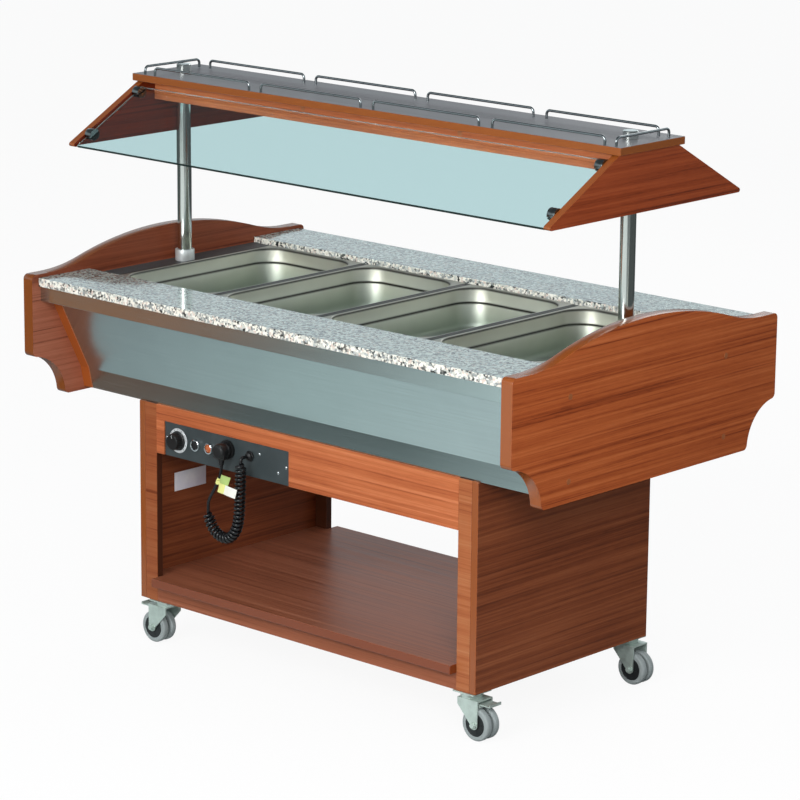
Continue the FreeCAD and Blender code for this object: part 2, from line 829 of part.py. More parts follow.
# Base carcass
side_left = block("side_left", ("-base_half", "-side_inner"), ("-base_front", "base_front"),
                  ("caster_height", "basin_bottom"))
keep("base_sides", several("side_pair", side_left, mirrored("side_right", side_left, left_to_right)))
stile = block("stile_front_left", ("-side_inner", "-stile_inner"), ("-base_front", "-front_inner"),
              ("caster_height", "basin_bottom"))
stile_back = mirrored("stile_back_left", stile, front_to_back)
keep("stiles", several("stile_set", stile, stile_back,
                       mirrored("stile_front_right", stile, left_to_right),
                       mirrored("stile_back_right", stile_back, left_to_right)))


def apron_board(name, low, high):
    return block(name, ("-stile_inner", "stile_inner"), (low, high), ("apron_bottom", "basin_bottom"))


control_notch = block(
    "control_notch", ("plate_left - plate_gap", "plate_right + plate_gap"), ("-base_front", "-front_inner"),
    ("apron_bottom", "plate_top + plate_gap"))
keep("apron_front", cut("apron_notched", apron_board("apron_blank", "-base_front", "-front_inner"),
                        control_notch))
keep("apron_back", apron_board("apron_plain", "front_inner", "base_front"))
shelf = joined(
    "shelf_board",
    block("shelf_middle", ("-side_inner + shelf_gap", "side_inner - shelf_gap"),
          ("-front_inner + shelf_gap", "front_inner - shelf_gap"), ("shelf_bottom", "shelf_top")),
    block("shelf_noses", ("-stile_inner + shelf_gap", "stile_inner - shelf_gap"),
          ("-base_front - shelf_nose", "base_front + shelf_nose"), ("shelf_bottom", "shelf_top")))
keep("shelf", shelf)
rail_front = block("rail_front", ("-stile_inner", "stile_inner"), ("-base_front", "-front_inner"),
                   ("caster_height", "shelf_bottom"))
batten = block("batten_left", ("-side_inner", "-side_inner + batten_width"), ("-front_inner", "front_inner"),
               ("caster_height", "shelf_bottom"))
keep("base_rails", several("rail_set", rail_front, mirrored("rail_back", rail_front, front_to_back),
                           batten, mirrored("batten_right", batten, left_to_right)))


def hole_in_plate(name, diameter, across, height):
    return rod(name, diameter, "plate_thickness", across, "-plate_face", height, "y")


# Control plate and the box behind it
plate_holes = [
    hole_in_plate("plate_bushing_hole", "bushing_diameter + 2 * running_gap", "knob_x", "control_z"),
    hole_in_plate("plate_switch_hole", "switch_diameter + 2 * running_gap", "button_x", "control_z"),
    hole_in_plate("plate_lamp_hole", "lamp_body + 2 * running_gap", "lamp_x", "control_z"),
    hole_in_plate("plate_holder_hole", "holder_sleeve + 2 * running_gap", "plug_x", "plug_z"),
    hole_in_plate("plate_gland_hole", "gland_neck + 2 * running_gap", "gland_x", "gland_z"),
]
keep("control_plate", cut(
    "plate", block("plate_blank", ("plate_left", "plate_right"), ("-plate_face", "-plate_back"),
                   ("apron_bottom", "plate_top")), *plate_holes))
box_outside = block(
    "box_outside", ("plate_left + box_margin", "plate_right - box_margin"),
    ("-plate_back", "-plate_back + box_depth"),
    ("apron_bottom + box_margin", "plate_top - box_margin"))
box_flange = block(
    "box_flange_blank", ("plate_left - box_flange", "plate_right + box_flange"),
    ("-front_inner", "-front_inner + box_wall"),
    ("apron_bottom + box_margin", "plate_top + box_flange"))
box_inside = block(
    "box_inside", ("plate_left + box_margin + box_wall", "plate_right - box_margin - box_wall"),
    ("-plate_back", "-plate_back + box_depth - box_wall"),
    ("apron_bottom + box_margin + box_wall", "plate_top - box_margin - box_wall"))
keep("control_box", cut("box", joined("box_blank", box_outside, box_flange), box_inside))

# Thermostat with its dial ring, and the knob on its shaft
ring_corners = [
    ("ring_diameter / 2 - ring_width", "plate_face"),
    ("ring_diameter / 2", "plate_face"),
    ("ring_diameter / 2", "plate_face + ring_thickness / 2"),
    ("ring_diameter / 2 - ring_thickness / 2", "plate_face + ring_thickness"),
    ("ring_diameter / 2 - ring_width", "plate_face + ring_thickness"),
]
dial_ring = place(turned("dial_ring", ring_corners), "knob_x", "0", "control_z", turns["-y"])
thermostat_body = block(
    "thermostat_body", ("knob_x - thermostat_size / 2", "knob_x + thermostat_size / 2"),
    ("-plate_back", "-plate_back + thermostat_depth"),
    ("control_z - thermostat_size / 2", "control_z + thermostat_size / 2"))
bushing = rod("bushing", "bushing_diameter", "plate_thickness + ring_thickness", "knob_x",
              "-plate_face - ring_thickness", "control_z", "y")
shaft_bore = rod("shaft_bore", "sleeve_bore", "shaft_length", "knob_x", "-knob_back", "control_z", "y")
keep("thermostat", several("thermostat_set", dial_ring,
                           cut("thermostat_case", joined("thermostat_blank", thermostat_body, bushing),
                               shaft_bore)))
knob_corners = [
    ("0", "knob_back - shaft_length + knob_gap"),
    ("shaft_diameter / 2", "knob_back - shaft_length + knob_gap"),
    ("shaft_diameter / 2", "knob_back"),
    ("knob_diameter / 2", "knob_back"),
    ("knob_diameter / 2", "knob_back + knob_height / 4"),
    ("knob_diameter / 2 - knob_taper", "knob_back + knob_height - knob_taper"),
    ("knob_diameter / 2 - 2 * knob_taper", "knob_back + knob_height"),
    ("0", "knob_back + knob_height"),
]
knob_body = place(turned("knob_body", knob_corners), "knob_x", "0", "control_z", turns["-y"])
pointer = block(
    "pointer", ("knob_x - pointer_width / 2", "knob_x + pointer_width / 2"),
    ("-knob_back - knob_height - pointer_width / 2", "-knob_back - knob_height / 2"),
    ("control_z + knob_diameter / 8", "control_z + knob_diameter / 2 - 2 * knob_taper"))
keep("thermostat_knob", joined("knob", knob_body, pointer))

# Switch and push button
switch_corners = [
    ("0", "plate_face - switch_depth"),
    ("switch_diameter / 2", "plate_face - switch_depth"),
    ("switch_diameter / 2", "plate_face"),
    ("bezel_diameter / 2", "plate_face"),
    ("bezel_diameter / 2", "plate_face + bezel_height / 2"),
    ("bezel_diameter / 2 - bezel_height / 2", "bezel_face"),
    ("button_diameter / 2 + running_gap", "bezel_face"),
    ("button_diameter / 2 + running_gap", "button_face - button_length - button_travel - running_gap"),
    ("0", "button_face - button_length - button_travel - running_gap"),
]
keep("switch_body", place(turned("switch", switch_corners), "button_x", "0", "control_z", turns["-y"]))
button_corners = [
    ("0", "button_face - button_length"),
    ("button_diameter / 2", "button_face - button_length"),
    ("button_diameter / 2", "button_face - bezel_height / 2"),
    ("button_diameter / 2 - bezel_height / 2", "button_face"),
    ("0", "button_face"),
]
keep("push_button", place(turned("button", button_corners), "button_x", "0", "control_z", turns["-y"]))

# Pilot lamp and its lens
lamp_corners = [
    ("0", "plate_face - lamp_depth"),
    ("lamp_body / 2", "plate_face - lamp_depth"),
    ("lamp_body / 2", "plate_face"),
    ("lamp_bezel / 2", "plate_face"),
    ("lamp_bezel / 2", "plate_face + bezel_height / 2"),
    ("lamp_bezel / 2 - bezel_height / 2", "bezel_face"),
    ("lamp_diameter / 2 + running_gap", "bezel_face"),
    ("lamp_diameter / 2 + running_gap", "plate_face + bezel_height / 3"),
    ("0", "plate_face + bezel_height / 3"),
]
keep("pilot_lamp", place(turned("lamp", lamp_corners), "lamp_x", "0", "control_z", turns["-y"]))
lens_corners = [
    ("0", "plate_face + bezel_height / 3"),
    ("lamp_diameter / 2", "plate_face + bezel_height / 3"),
    ("lamp_diameter / 2", "bezel_face"),
    ("0", "bezel_face + lens_dome - sqrt(lens_dome ^ 2 - lamp_diameter ^ 2 / 4)"),
]
keep("lamp_lens", place(turned("lens", lens_corners, {2: (1, "lens_dome")}), "lamp_x", "0", "control_z",
                        turns["-y"]))

# Plug, parked in its holder
pins_x = [f"plug_x {sign} pin_spacing / 2" for sign in "-+"]
holder_corners = [
    ("0", "plate_face - holder_depth"),
    ("holder_sleeve / 2", "plate_face - holder_depth"),
    ("holder_sleeve / 2", "plate_face"),
    ("holder_diameter / 2", "plate_face"),
    ("holder_diameter / 2", "holder_face"),
    ("0", "holder_face"),
]
holder_blank = place(turned("holder_blank", holder_corners), "plug_x", "0", "plug_z", turns["-y"])
pin_holes = [
    rod(f"pin_hole_{index}", "pin_diameter + 2 * running_gap", "pin_length + running_gap", across,
        "-holder_face", "plug_z", "y")
    for index, across in enumerate(pins_x)]
keep("plug_holder", cut("holder", holder_blank, *pin_holes))
plug_corners = [
    ("0", "holder_face"),
    ("plug_diameter / 2", "holder_face"),
    ("plug_diameter / 2", "holder_face + plug_length - plug_boss / 4"),
    ("plug_diameter / 2 - plug_boss / 4", "holder_face + plug_length"),
    ("0", "holder_face + plug_length"),
]
plug_body = place(turned("plug_body", plug_corners), "plug_x", "0", "plug_z", turns["-y"])
plug_pins = [
    rod(f"plug_pin_{index}", "pin_diameter", "pin_length", across, "-holder_face", "plug_z", "y")
    for index, across in enumerate(pins_x)]
plug_boss = rod("plug_outlet", "plug_boss", "plug_boss_drop", "plug_x",
                "-holder_face - plug_length / 2", "plug_z - plug_boss_drop")
keep("plug", joined("plug_whole", plug_body, plug_boss, *plug_pins))

# Cord gland
gland_corners = [
    ("0", "plate_back - gland_nut_height"),
    ("gland_nut / 2", "plate_back - gland_nut_height"),
    ("gland_nut / 2", "plate_back"),
    ("gland_neck / 2", "plate_back"),
    ("gland_neck / 2", "plate_face"),
    ("gland_flange / 2", "plate_face"),
    ("gland_flange / 2", "plate_face + gland_flange_height"),
    ("gland_nose / 2", "gland_face"),
    ("0", "gland_face"),
]
keep("cord_gland", place(turned("gland", gland_corners), "gland_x", "0", "gland_z", turns["-y"]))

# Curly cord: straight out of the gland, an elbow, a drop and a half circle back up, wound all the way
cord_diameter = number("cord_diameter")
coil_radius = number("(coil_diameter - cord_diameter) / 2")
elbow = number("coil_elbow")
drop = number("coil_drop")
bend = number("coil_bend")
exit_run = number("coil_exit")
gland_mouth = vector(number("gland_x"), -number("gland_face"), number("gland_z"))
coil_top = gland_mouth + vector(0, -exit_run - elbow, -elbow)
bend_centre = coil_top + vector(-bend, 0, -drop)
wound_length = drop + math.pi * bend
turn_count = int(number("coil_turns"))
ramp_turns = 1.25
outward = vector(0, -1, 0)


def coil_axis(along):
    """The point and heading of the coil's middle line at a distance below the elbow."""
    if along < drop:
        return coil_top - vector(0, 0, along), vector(0, 0, -1)
    angle = (along - drop) / bend
    spoke = vector(math.cos(angle), 0, -math.sin(angle))
    return bend_centre + spoke * bend, vector(-math.sin(angle), 0, -math.cos(angle))


def coil_point(turn):
    """A point of the wound cord after a number of turns."""
    centre, heading = coil_axis(wound_length * turn / turn_count)
    ramp = min(turn, turn_count - turn, ramp_turns) / ramp_turns
    swell = coil_radius * ramp ** 2 * (3 - 2 * ramp)
    angle = 2 * math.pi * turn
    sideways = heading.cross(outward)
    return centre + outward * (swell * math.cos(angle)) + sideways * (swell * math.sin(angle))


def coil_heading(turn):
    step = 0.001
    low, high = max(turn - step, 0), min(turn + step, turn_count)
    return (coil_point(high) - coil_point(low)).normalize()


def tangent_arc(start, heading, end):
    """An arc from start, along heading, to end."""
    chord = end - start
    lean = heading.getAngle(chord)
    if lean < 1e-6:
        return Part.LineSegment(start, end).toShape()
    radius = chord.Length / 2 / math.sin(lean)
    inward = (heading - chord * (heading.dot(chord) / chord.dot(chord))).normalize()
    middle = (start + end) / 2 + inward * (radius * (1 - math.cos(lean)))
    return Part.Arc(start, middle, end).toShape()


def biarc(start, start_heading, end, end_heading):
    """Two tangent arcs between a pair of points with headings."""
    gap = end - start
    both = start_heading + end_heading
    spread = 2 * (1 - start_heading.dot(end_heading))
    towards = gap.dot(both)
    if spread < 1e-9:
        reach = gap.dot(gap) / (2 * towards)
    else:
        reach = (math.sqrt(towards ** 2 + spread * gap.dot(gap)) - towards) / spread
    meeting = (start + start_heading * reach + end - end_heading * reach) / 2
    first = tangent_arc(start, start_heading, meeting)
    second = tangent_arc(end, end_heading * -1, meeting)
    return first, second


quarter_turns = [index / 4 for index in range(4 * turn_count + 1)]
cord_edges = [
    Part.LineSegment(gland_mouth, gland_mouth - vector(0, exit_run, 0)).toShape(),
    tangent_arc(gland_mouth - vector(0, exit_run, 0), outward, coil_top),
]
for low, high in zip(quarter_turns, quarter_turns[1:]):
    cord_edges.extend(biarc(coil_point(low), coil_heading(low), coil_point(high), coil_heading(high)))
coil_end = coil_point(turn_count)
tail_start = coil_end + coil_heading(turn_count) * cord_diameter
cord_edges.append(Part.LineSegment(coil_end, tail_start).toShape())
cord_path = Part.Wire(Part.__sortEdges__(cord_edges))
curly_tube = tube_along(cord_path, cord_diameter)
keep("curly_cord", shaped("wound_tube", curly_tube))
checks_per_turn = 24
neighbour_run = 3 * cord_diameter
coil_samples = [coil_point(index / checks_per_turn) for index in range(turn_count * checks_per_turn + 1)]
run_so_far = [0]
for before, after in zip(coil_samples, coil_samples[1:]):
    run_so_far.append(run_so_far[-1] + (after - before).Length)
least_gap = min(
    (coil_samples[near] - coil_samples[far]).Length
    for near in range(len(coil_samples))
    for far in range(near + 1, len(coil_samples))
    if run_so_far[far] - run_so_far[near] > neighbour_run) - cord_diameter
section_area = math.pi * cord_diameter ** 2 / 4
print(f"curly cord: least gap to itself {least_gap:.2f} mm, length {cord_path.Length:.0f} mm,"
      f" volume over section times length {curly_tube.Volume / section_area / cord_path.Length:.4f}")

# Straight tail of the cord, from the end of the coil up to the plug
plug_outlet = vector(number("plug_x"), -number("holder_face + plug_length / 2"),
                     number("plug_z - plug_boss_drop"))
tail_low = tail_start + vector(0, 0, number("tail_exit"))
tail_high = plug_outlet - vector(0, 0, number("tail_entry"))
tail_middle = (tail_low + tail_high) / 2 + vector(number("tail_bow"), 0, 0)
tail_points = [tail_start, tail_low, tail_middle, tail_high, plug_outlet]


def cord_bends(points):
    """Each bend as large as the shorter of its two runs allows."""
    bends = []
    for before, corner, after in zip(points, points[1:], points[2:]):
        half_turn = (corner - before).getAngle(after - corner) / 2
        shorter = min((corner - before).Length, (after - corner).Length)
        bends.append(0.45 * shorter / math.tan(half_turn))
    return bends


tail_bends = cord_bends(tail_points)
tail_path = bent_path(tail_points, tail_bends)
tail_tube = tube_along(tail_path, cord_diameter)
keep("cord_tail", shaped("tail_tube", tail_tube))
print("cord tail: bend radii", [round(radius, 1) for radius in tail_bends],
      f"length {tail_path.Length:.0f} mm,"
      f" volume over section times length {tail_tube.Volume / section_area / tail_path.Length:.4f}")

# Blank tag, a sleeve round the tail with a flag
tag_axis = (tail_high - tail_middle).normalize()
tag_middle = (tail_high + tail_middle) / 2
tag_radius = number("tag_sleeve / 2")
tag_thickness = number("tag_thickness")
sleeve_length = number("tag_length")
flag_height = number("tag_height")
sleeve = Part.makeCylinder(tag_radius, sleeve_length, tag_middle - tag_axis * (sleeve_length / 2), tag_axis)
flag_corner = tag_middle + vector(tag_radius - tag_thickness, -tag_thickness / 2, -flag_height / 2)
flag = Part.makeBox(number("tag_flag"), tag_thickness, flag_height, flag_corner)
tag_bore = Part.makeCylinder(cord_diameter / 2 + number("tag_gap"), 2 * flag_height,
                             tag_middle - tag_axis * flag_height, tag_axis)
keep("cord_tag", shaped("tag", sleeve.fuse(flag).cut(tag_bore).removeSplitter()))

# Posts, with a stud through the deck and the frame, and their collars
post_corners = [
    ("0", "stud_bottom"),
    ("post_stud / 2", "stud_bottom"),
    ("post_stud / 2", "deck_top"),
    ("post_diameter / 2", "deck_top"),
    ("post_diameter / 2", "post_top - post_wall"),
    ("post_diameter / 2 - post_wall", "post_top"),
    ("0", "post_top"),
    ("0", "post_top - 2 * post_wall"),
    ("post_diameter / 2 - post_wall", "post_top - 2 * post_wall"),
    ("post_diameter / 2 - post_wall", "deck_top + post_foot"),
    ("0", "deck_top + post_foot"),
]


def collar(name, outer, inner, low, high):
    """A ring round the right post."""
    corners = [(f"{inner} / 2", low), (f"{outer} / 2", low), (f"{outer} / 2", high), (f"{inner} / 2", high)]
    return place(turned(name, corners), "post_x")


post = place(turned("post_right", post_corners), "post_x")
keep("posts", several("post_pair", post, mirrored("post_left", post, left_to_right)))
collars = [
    collar("collar_lower", "collar_diameter", "post_hole", "deck_top", "deck_top + collar_height"),
    collar("collar_upper", "collar_diameter", "post_hole", "board_bottom - upper_collar_height",
           "board_bottom"),
    collar("stud_nut_right", "stud_nut", "stud_hole", "frame_bottom - stud_nut_height", "frame_bottom"),
]
keep("post_collars", several("collar_set", *collars,
                             *[mirrored(ring.Name + "_left", ring, left_to_right) for ring in collars]))

# Canopy board, its rails and its end panels
board_holes = [
    rod("board_hole_" + side, "post_hole", "board_thickness", sign + "post_x", "0", "board_bottom")
    for side, sign in (("left", "-"), ("right", ""))]
keep("canopy_board", cut(
    "board", block("board_blank", ("-canopy_half", "canopy_half"), ("-canopy_depth / 2", "canopy_depth / 2"),
                   ("board_bottom", "canopy_top")), *board_holes))
canopy_rail = block(
    "canopy_rail_front", ("-canopy_end_inner", "canopy_end_inner"),
    ("-canopy_rail_face", "-canopy_rail_face + canopy_rail_thickness"),
    ("board_bottom - canopy_rail_height", "board_bottom"))
keep("canopy_rails", several("canopy_rail_pair", canopy_rail,
                             mirrored("canopy_rail_back", canopy_rail, front_to_back)))
canopy_end_corners = [
    ("-canopy_end_tip", "canopy_end_bottom"),
    ("canopy_end_tip", "canopy_end_bottom"),
    ("canopy_end_top", "board_bottom"),
    ("-canopy_end_top", "board_bottom"),
]
canopy_end_boards = []
for side, start in (("left", "-canopy_end_outer"), ("right", "canopy_end_inner")):
    canopy_end = padded("canopy_end_" + side, "YZ_Plane", canopy_end_corners, "canopy_end_thickness")
    round_corners(canopy_end, "tip_radius", canopy_end_corners[:2])
    canopy_end_boards.append(place(canopy_end, start))
keep("canopy_ends", several("canopy_end_pair", *canopy_end_boards))


def on_slope(along, depth):
    """Y and Z of a point of the front slope, so far up from its tip and so deep below it."""
    return (f"-canopy_end_tip + ({along}) * slope_along + ({depth}) * slope_up",
            f"canopy_end_bottom + ({along}) * slope_up - ({depth}) * slope_along")


slope_turn = FreeCAD.Rotation(vector(1, 0, 0), number("atan(slope_rise / slope_run)"))


def sloped_sheet(name, half, depth, thickness):
    """A sheet that lies along the front slope, its lower face so deep below the slope."""
    sheet = doc.addObject("Part::Box", name)
    bind(sheet, {"Length": f"2 * ({half})", "Width": "glass_length", "Height": thickness})
    place(sheet, f"-({half})", *on_slope("glass_start", depth), slope_turn)
    return bind(sheet, {"Placement.Rotation.Angle": "atan(slope_rise / slope_run)"})


# Glass panes on clamps that stand on the inner faces of the end panels
glass = sloped_sheet("glass_front", "glass_half", "glass_sink + glass_thickness", "glass_thickness")
keep("glass_panes", several("glass_pair", glass, mirrored("glass_back", glass, front_to_back)))
clamp_slot = sloped_sheet("clamp_slot", "glass_half + running_gap",
                          "glass_sink + glass_thickness + running_gap", "glass_thickness + 2 * running_gap")
clamp_blanks = []
for height in ("clamp_low", "clamp_high"):
    for side, start in (("left", "-canopy_end_inner"), ("right", "canopy_end_inner - clamp_length")):
        clamp_blanks.append(rod(f"{height}_{side}", "clamp_diameter", "clamp_length", start,
                                *on_slope(height, "glass_sink + glass_thickness / 2"), "x"))
clamps_front = cut("clamps_front", several("clamp_blanks", *clamp_blanks), clamp_slot)
keep("glass_clamps", several("clamp_set", clamps_front, mirrored("clamps_back", clamps_front, front_to_back)))

# Gallery rails, bent wire round the top board


def gallery_rail(name, span, x, y, turn):
    half = number(span) / 2
    top = number("gallery_height - gallery_rod / 2")
    points = [vector(-half, 0, 0), vector(-half, 0, top), vector(half, 0, top), vector(half, 0, 0)]
    path = bent_path(points, [number("gallery_bend")] * 2)
    rail = shaped(name, tube_along(path, number("gallery_rod")))
    return place(rail, x, y, "canopy_top", FreeCAD.Rotation(vector(0, 0, 1), turn))


gallery = []
for row_name, row_y in (("front", "gallery_front_edge - canopy_depth / 2"),
                        ("back", "canopy_depth / 2 - gallery_back_edge")):
    for index, steps in enumerate(("-1.5", "-0.5", "0.5", "1.5")):
        gallery.append(gallery_rail(f"gallery_{row_name}_{index}", "gallery_span",
                                    f"{steps} * gallery_pitch + gallery_shift", row_y, 0))
gallery_middle = "(gallery_front_edge - gallery_back_edge) / 2"
for side, row_x in (("left", "gallery_left_edge - canopy_half"), ("right", "canopy_half - gallery_right_edge")):
    gallery.append(gallery_rail(f"gallery_{side}", "gallery_end_span", row_x, gallery_middle, 90))
keep("gallery_rails", several("gallery_set", *gallery))

# Casters, each drawn about its king pin with the wheels trailing towards +X
corner_signs = {"front_left": ("-", "-"), "front_right": ("", "-"),
                "back_left": ("-", ""), "back_right": ("", "")}
braked = ("front_left", "front_right")


def at_corner(piece, corner):
    sign_x, sign_y = corner_signs[corner]
    outward_turn = FreeCAD.Rotation(vector(0, 0, 1), 180 if sign_x else 0)
    pin_x = "-caster_left" if sign_x else "caster_right"
    return place(piece, pin_x, sign_y + "caster_y", "0", outward_turn)


def caster_plate(corner):
    """The fixed top plate with its race, and a king pin whose head holds the crown."""
    pin_corners = [
        ("0", "crown_bottom - swivel_gap - king_pin_head_height"),
        ("king_pin_head / 2", "crown_bottom - swivel_gap - king_pin_head_height"),
        ("king_pin_head / 2", "crown_bottom - swivel_gap"),
        ("king_pin / 2", "crown_bottom - swivel_gap"),
        ("king_pin / 2", "race_bottom"),
        ("race_diameter / 2", "race_bottom"),
        ("race_diameter / 2", "plate_under"),
        ("0", "plate_under"),
    ]
    half = "caster_plate / 2"
    flat = block(f"plate_{corner}", (f"-{half}", half), (f"-{half}", half),
                 ("plate_under", "caster_height"))
    pin = turned(f"king_pin_{corner}", pin_corners)
    return at_corner(joined(f"top_plate_{corner}", flat, pin), corner)


def caster_fork(corner):
    """A pressed fork with its axle bolt, and the pin of the pedal where there is one."""
    crown = block(f"crown_{corner}", ("-crown_lead", "crown_tail"), ("-fork_outer", "fork_outer"),
                  ("crown_bottom", "crown_height"))
    leg_corners = [
        ("caster_trail - leg_foot", "axle_z"),
        ("caster_trail + leg_foot", "axle_z"),
        ("crown_tail", "crown_height"),
        ("-crown_lead", "crown_height"),
        ("-crown_lead", "crown_height - cheek_height"),
    ]
    legs = []
    for name, low in (("near", "-fork_outer"), ("far", "fork_inner")):
        leg = padded(f"leg_{name}_{corner}", "XZ_Plane", leg_corners, "fork_thickness")
        legs.append(place(leg, "0", f"{low} + fork_thickness"))
        legs.append(rod(f"foot_{name}_{corner}", "2 * leg_foot", "fork_thickness", "caster_trail", low,
                        "axle_z", "y"))
    holes = [
        rod(f"pin_bore_{corner}", "king_pin + 2 * running_gap", "fork_thickness", "0", "0", "crown_bottom"),
        rod(f"axle_bore_{corner}", "axle_diameter", "2 * fork_outer", "caster_trail", "-fork_outer",
            "axle_z", "y"),
    ]
    shank = rod(f"axle_{corner}", "axle_diameter", "2 * fork_outer", "caster_trail", "-fork_outer",
                "axle_z", "y")
    heads = [
        rod(f"axle_head_{name}_{corner}", "axle_head", "axle_head_height", "caster_trail", low,
            "axle_z", "y")
        for name, low in (("near", "-fork_outer - axle_head_height"), ("far", "fork_outer"))]
    loose = [joined(f"axle_bolt_{corner}", shank, *heads)]
    if corner in braked:
        pin = dict(x="pedal_pivot_x", y="-fork_outer", z="pedal_pivot_z", along="y")
        holes.append(rod(f"pedal_bore_{corner}", "pedal_pin", "2 * fork_outer", **pin))
        loose.append(rod(f"pedal_pin_{corner}", "pedal_pin", "2 * fork_outer", **pin))
    pressing = cut(f"fork_pressing_{corner}", joined(f"fork_blank_{corner}", crown, *legs), *holes)
    return at_corner(several(f"fork_{corner}", pressing, *loose), corner)


def caster_hub(corner):
    """Two rims with a boss each, and a narrower spool between them."""
    bore = "axle_diameter / 2 + running_gap"
    rim_corners = [
        (bore, "wheel_gap / 2"),
        ("hub_diameter / 2", "wheel_gap / 2"),
        ("hub_diameter / 2", "hub_half"),
        ("hub_boss / 2", "hub_half"),
        ("hub_boss / 2", "hub_half + hub_boss_height"),
        (bore, "hub_half + hub_boss_height"),
    ]
    spool_corners = [
        (bore, "-wheel_gap / 2"),
        ("hub_spool / 2", "-wheel_gap / 2"),
        ("hub_spool / 2", "wheel_gap / 2"),
        (bore, "wheel_gap / 2"),
    ]
    turned_pieces = [
        (turned(f"rim_far_{corner}", rim_corners), turns["y"]),
        (turned(f"rim_near_{corner}", rim_corners), turns["-y"]),
        (turned(f"spool_{corner}", spool_corners), turns["y"]),
    ]
    hub = [place(piece, "caster_trail", "0", "axle_z", turn) for piece, turn in turned_pieces]
    return at_corner(several(f"hub_at_{corner}", *hub), corner)


def caster_tyres(corner):
    """Two tyres with round shoulders on one hub."""
    tyre_corners = [
        ("hub_diameter / 2 + running_gap", "wheel_gap / 2"),
        ("wheel_diameter / 2 - tyre_shoulder", "wheel_gap / 2"),
        ("wheel_diameter / 2", "wheel_gap / 2 + tyre_shoulder"),
        ("wheel_diameter / 2", "hub_half - tyre_shoulder"),
        ("wheel_diameter / 2 - tyre_shoulder", "hub_half"),
        ("hub_diameter / 2 + running_gap", "hub_half"),
    ]
    shoulders = {1: (1, "tyre_shoulder"), 3: (1, "tyre_shoulder")}
    tyres = []
    for name, turn in (("far", turns["y"]), ("near", turns["-y"])):
        tyre = turned(f"tyre_{name}_{corner}", tyre_corners, shoulders)
        tyres.append(place(tyre, "caster_trail", "0", "axle_z", turn))
    return at_corner(several(f"tyres_at_{corner}", *tyres), corner)


def brake_pedal(corner):
    """A pedal on a barrel round its pin, with a shoe above the tyres and a lip at its end."""
    half = "pedal_width / 2"
    across = (f"-{half}", half)
    barrel = rod(f"barrel_{corner}", "pedal_barrel", "pedal_width", "pedal_pivot_x", f"-{half}",
                 "pedal_pivot_z", "y")
    tread = block(f"tread_{corner}", ("pedal_pivot_x", "pedal_pivot_x + pedal_reach"), across,
                  ("pedal_pivot_z", "pedal_pivot_z + pedal_thickness"))
    lip = block(
        f"lip_{corner}",
        ("pedal_pivot_x + pedal_reach - pedal_thickness", "pedal_pivot_x + pedal_reach"), across,
        ("pedal_pivot_z", "pedal_pivot_z + pedal_thickness + pedal_lip"))
    shoe = block(
        f"shoe_{corner}",
        ("pedal_pivot_x + shoe_lead", "pedal_pivot_x + shoe_lead + shoe_width"), across,
        ("pedal_pivot_z - shoe_drop", "pedal_pivot_z"))
    bore = rod(f"barrel_bore_{corner}", "pedal_pin + 2 * running_gap", "pedal_width", "pedal_pivot_x",
               f"-{half}", "pedal_pivot_z", "y")
    blank = joined(f"pedal_blank_{corner}", barrel, tread, lip, shoe)
    return at_corner(cut(f"pedal_{corner}", blank, bore), corner)


keep("caster_plates", several("top_plate_set", *[caster_plate(corner) for corner in corner_signs]))
for corner in corner_signs:
    keep("caster_fork_" + corner, caster_fork(corner))
    keep("caster_hub_" + corner, caster_hub(corner))
    keep("caster_tyres_" + corner, caster_tyres(corner))
for corner in braked:
    keep("brake_pedal_" + corner, brake_pedal(corner))

# Every object is sound before anything is written
places.clear(scratch_cell)
doc.recompute()
for piece in doc.Objects:
    if {"Invalid", "Error"} & set(piece.State):
        raise RuntimeError(f"{piece.Label} failed: {piece.State}")
for piece in nodes:
    if piece.Shape.isNull() or not piece.Shape.isValid() or not piece.Shape.Solids:
        raise RuntimeError(f"{piece.Label} has no sound solid")

os.makedirs("parts", exist_ok=True)
for piece in nodes:
    piece.Shape.exportStep(f"parts/{piece.Label}.step")
print(f"{len(nodes)} nodes written")
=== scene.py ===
import math

import bmesh
import bpy
from mathutils import Matrix, Vector


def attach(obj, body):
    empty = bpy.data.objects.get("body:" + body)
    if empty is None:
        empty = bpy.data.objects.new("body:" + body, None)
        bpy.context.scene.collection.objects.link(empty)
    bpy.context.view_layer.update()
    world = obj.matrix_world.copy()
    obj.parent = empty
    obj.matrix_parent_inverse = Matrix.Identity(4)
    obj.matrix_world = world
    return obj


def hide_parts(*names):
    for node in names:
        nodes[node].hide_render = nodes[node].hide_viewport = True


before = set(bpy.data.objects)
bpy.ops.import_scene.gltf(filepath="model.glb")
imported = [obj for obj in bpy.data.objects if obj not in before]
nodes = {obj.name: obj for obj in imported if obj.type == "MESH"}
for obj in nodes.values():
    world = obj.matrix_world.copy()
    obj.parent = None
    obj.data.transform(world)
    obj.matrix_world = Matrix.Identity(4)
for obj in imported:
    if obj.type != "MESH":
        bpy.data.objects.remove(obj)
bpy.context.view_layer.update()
scene = bpy.context.scene
scene.view_settings.view_transform = "Standard"
print("frame loaded,", len(nodes), "nodes")


# camera at the photograph's angle
photoCamera = {
    "place": (5.137, -5.603, 2.488),
    "forward": (-0.6545, 0.7175, -0.2385),
    "up": (-0.168, 0.1696, 0.9711),
    "lens": 154.5,
    "clipEnd": 100,
}


def setCamera():
    data = bpy.data.cameras.new("photoCamera")
    data.lens = photoCamera["lens"]
    data.clip_end = photoCamera["clipEnd"]
    forward = Vector(photoCamera["forward"]).normalized()
    right = forward.cross(Vector(photoCamera["up"])).normalized()
    up = right.cross(forward)
    turn = Matrix((right, up, -forward)).transposed().to_4x4()
    camera = bpy.data.objects.new("photoCamera", data)
    camera.matrix_world = Matrix.Translation(photoCamera["place"]) @ turn
    scene.collection.objects.link(camera)
    scene.camera = camera


setCamera()
print("camera set")


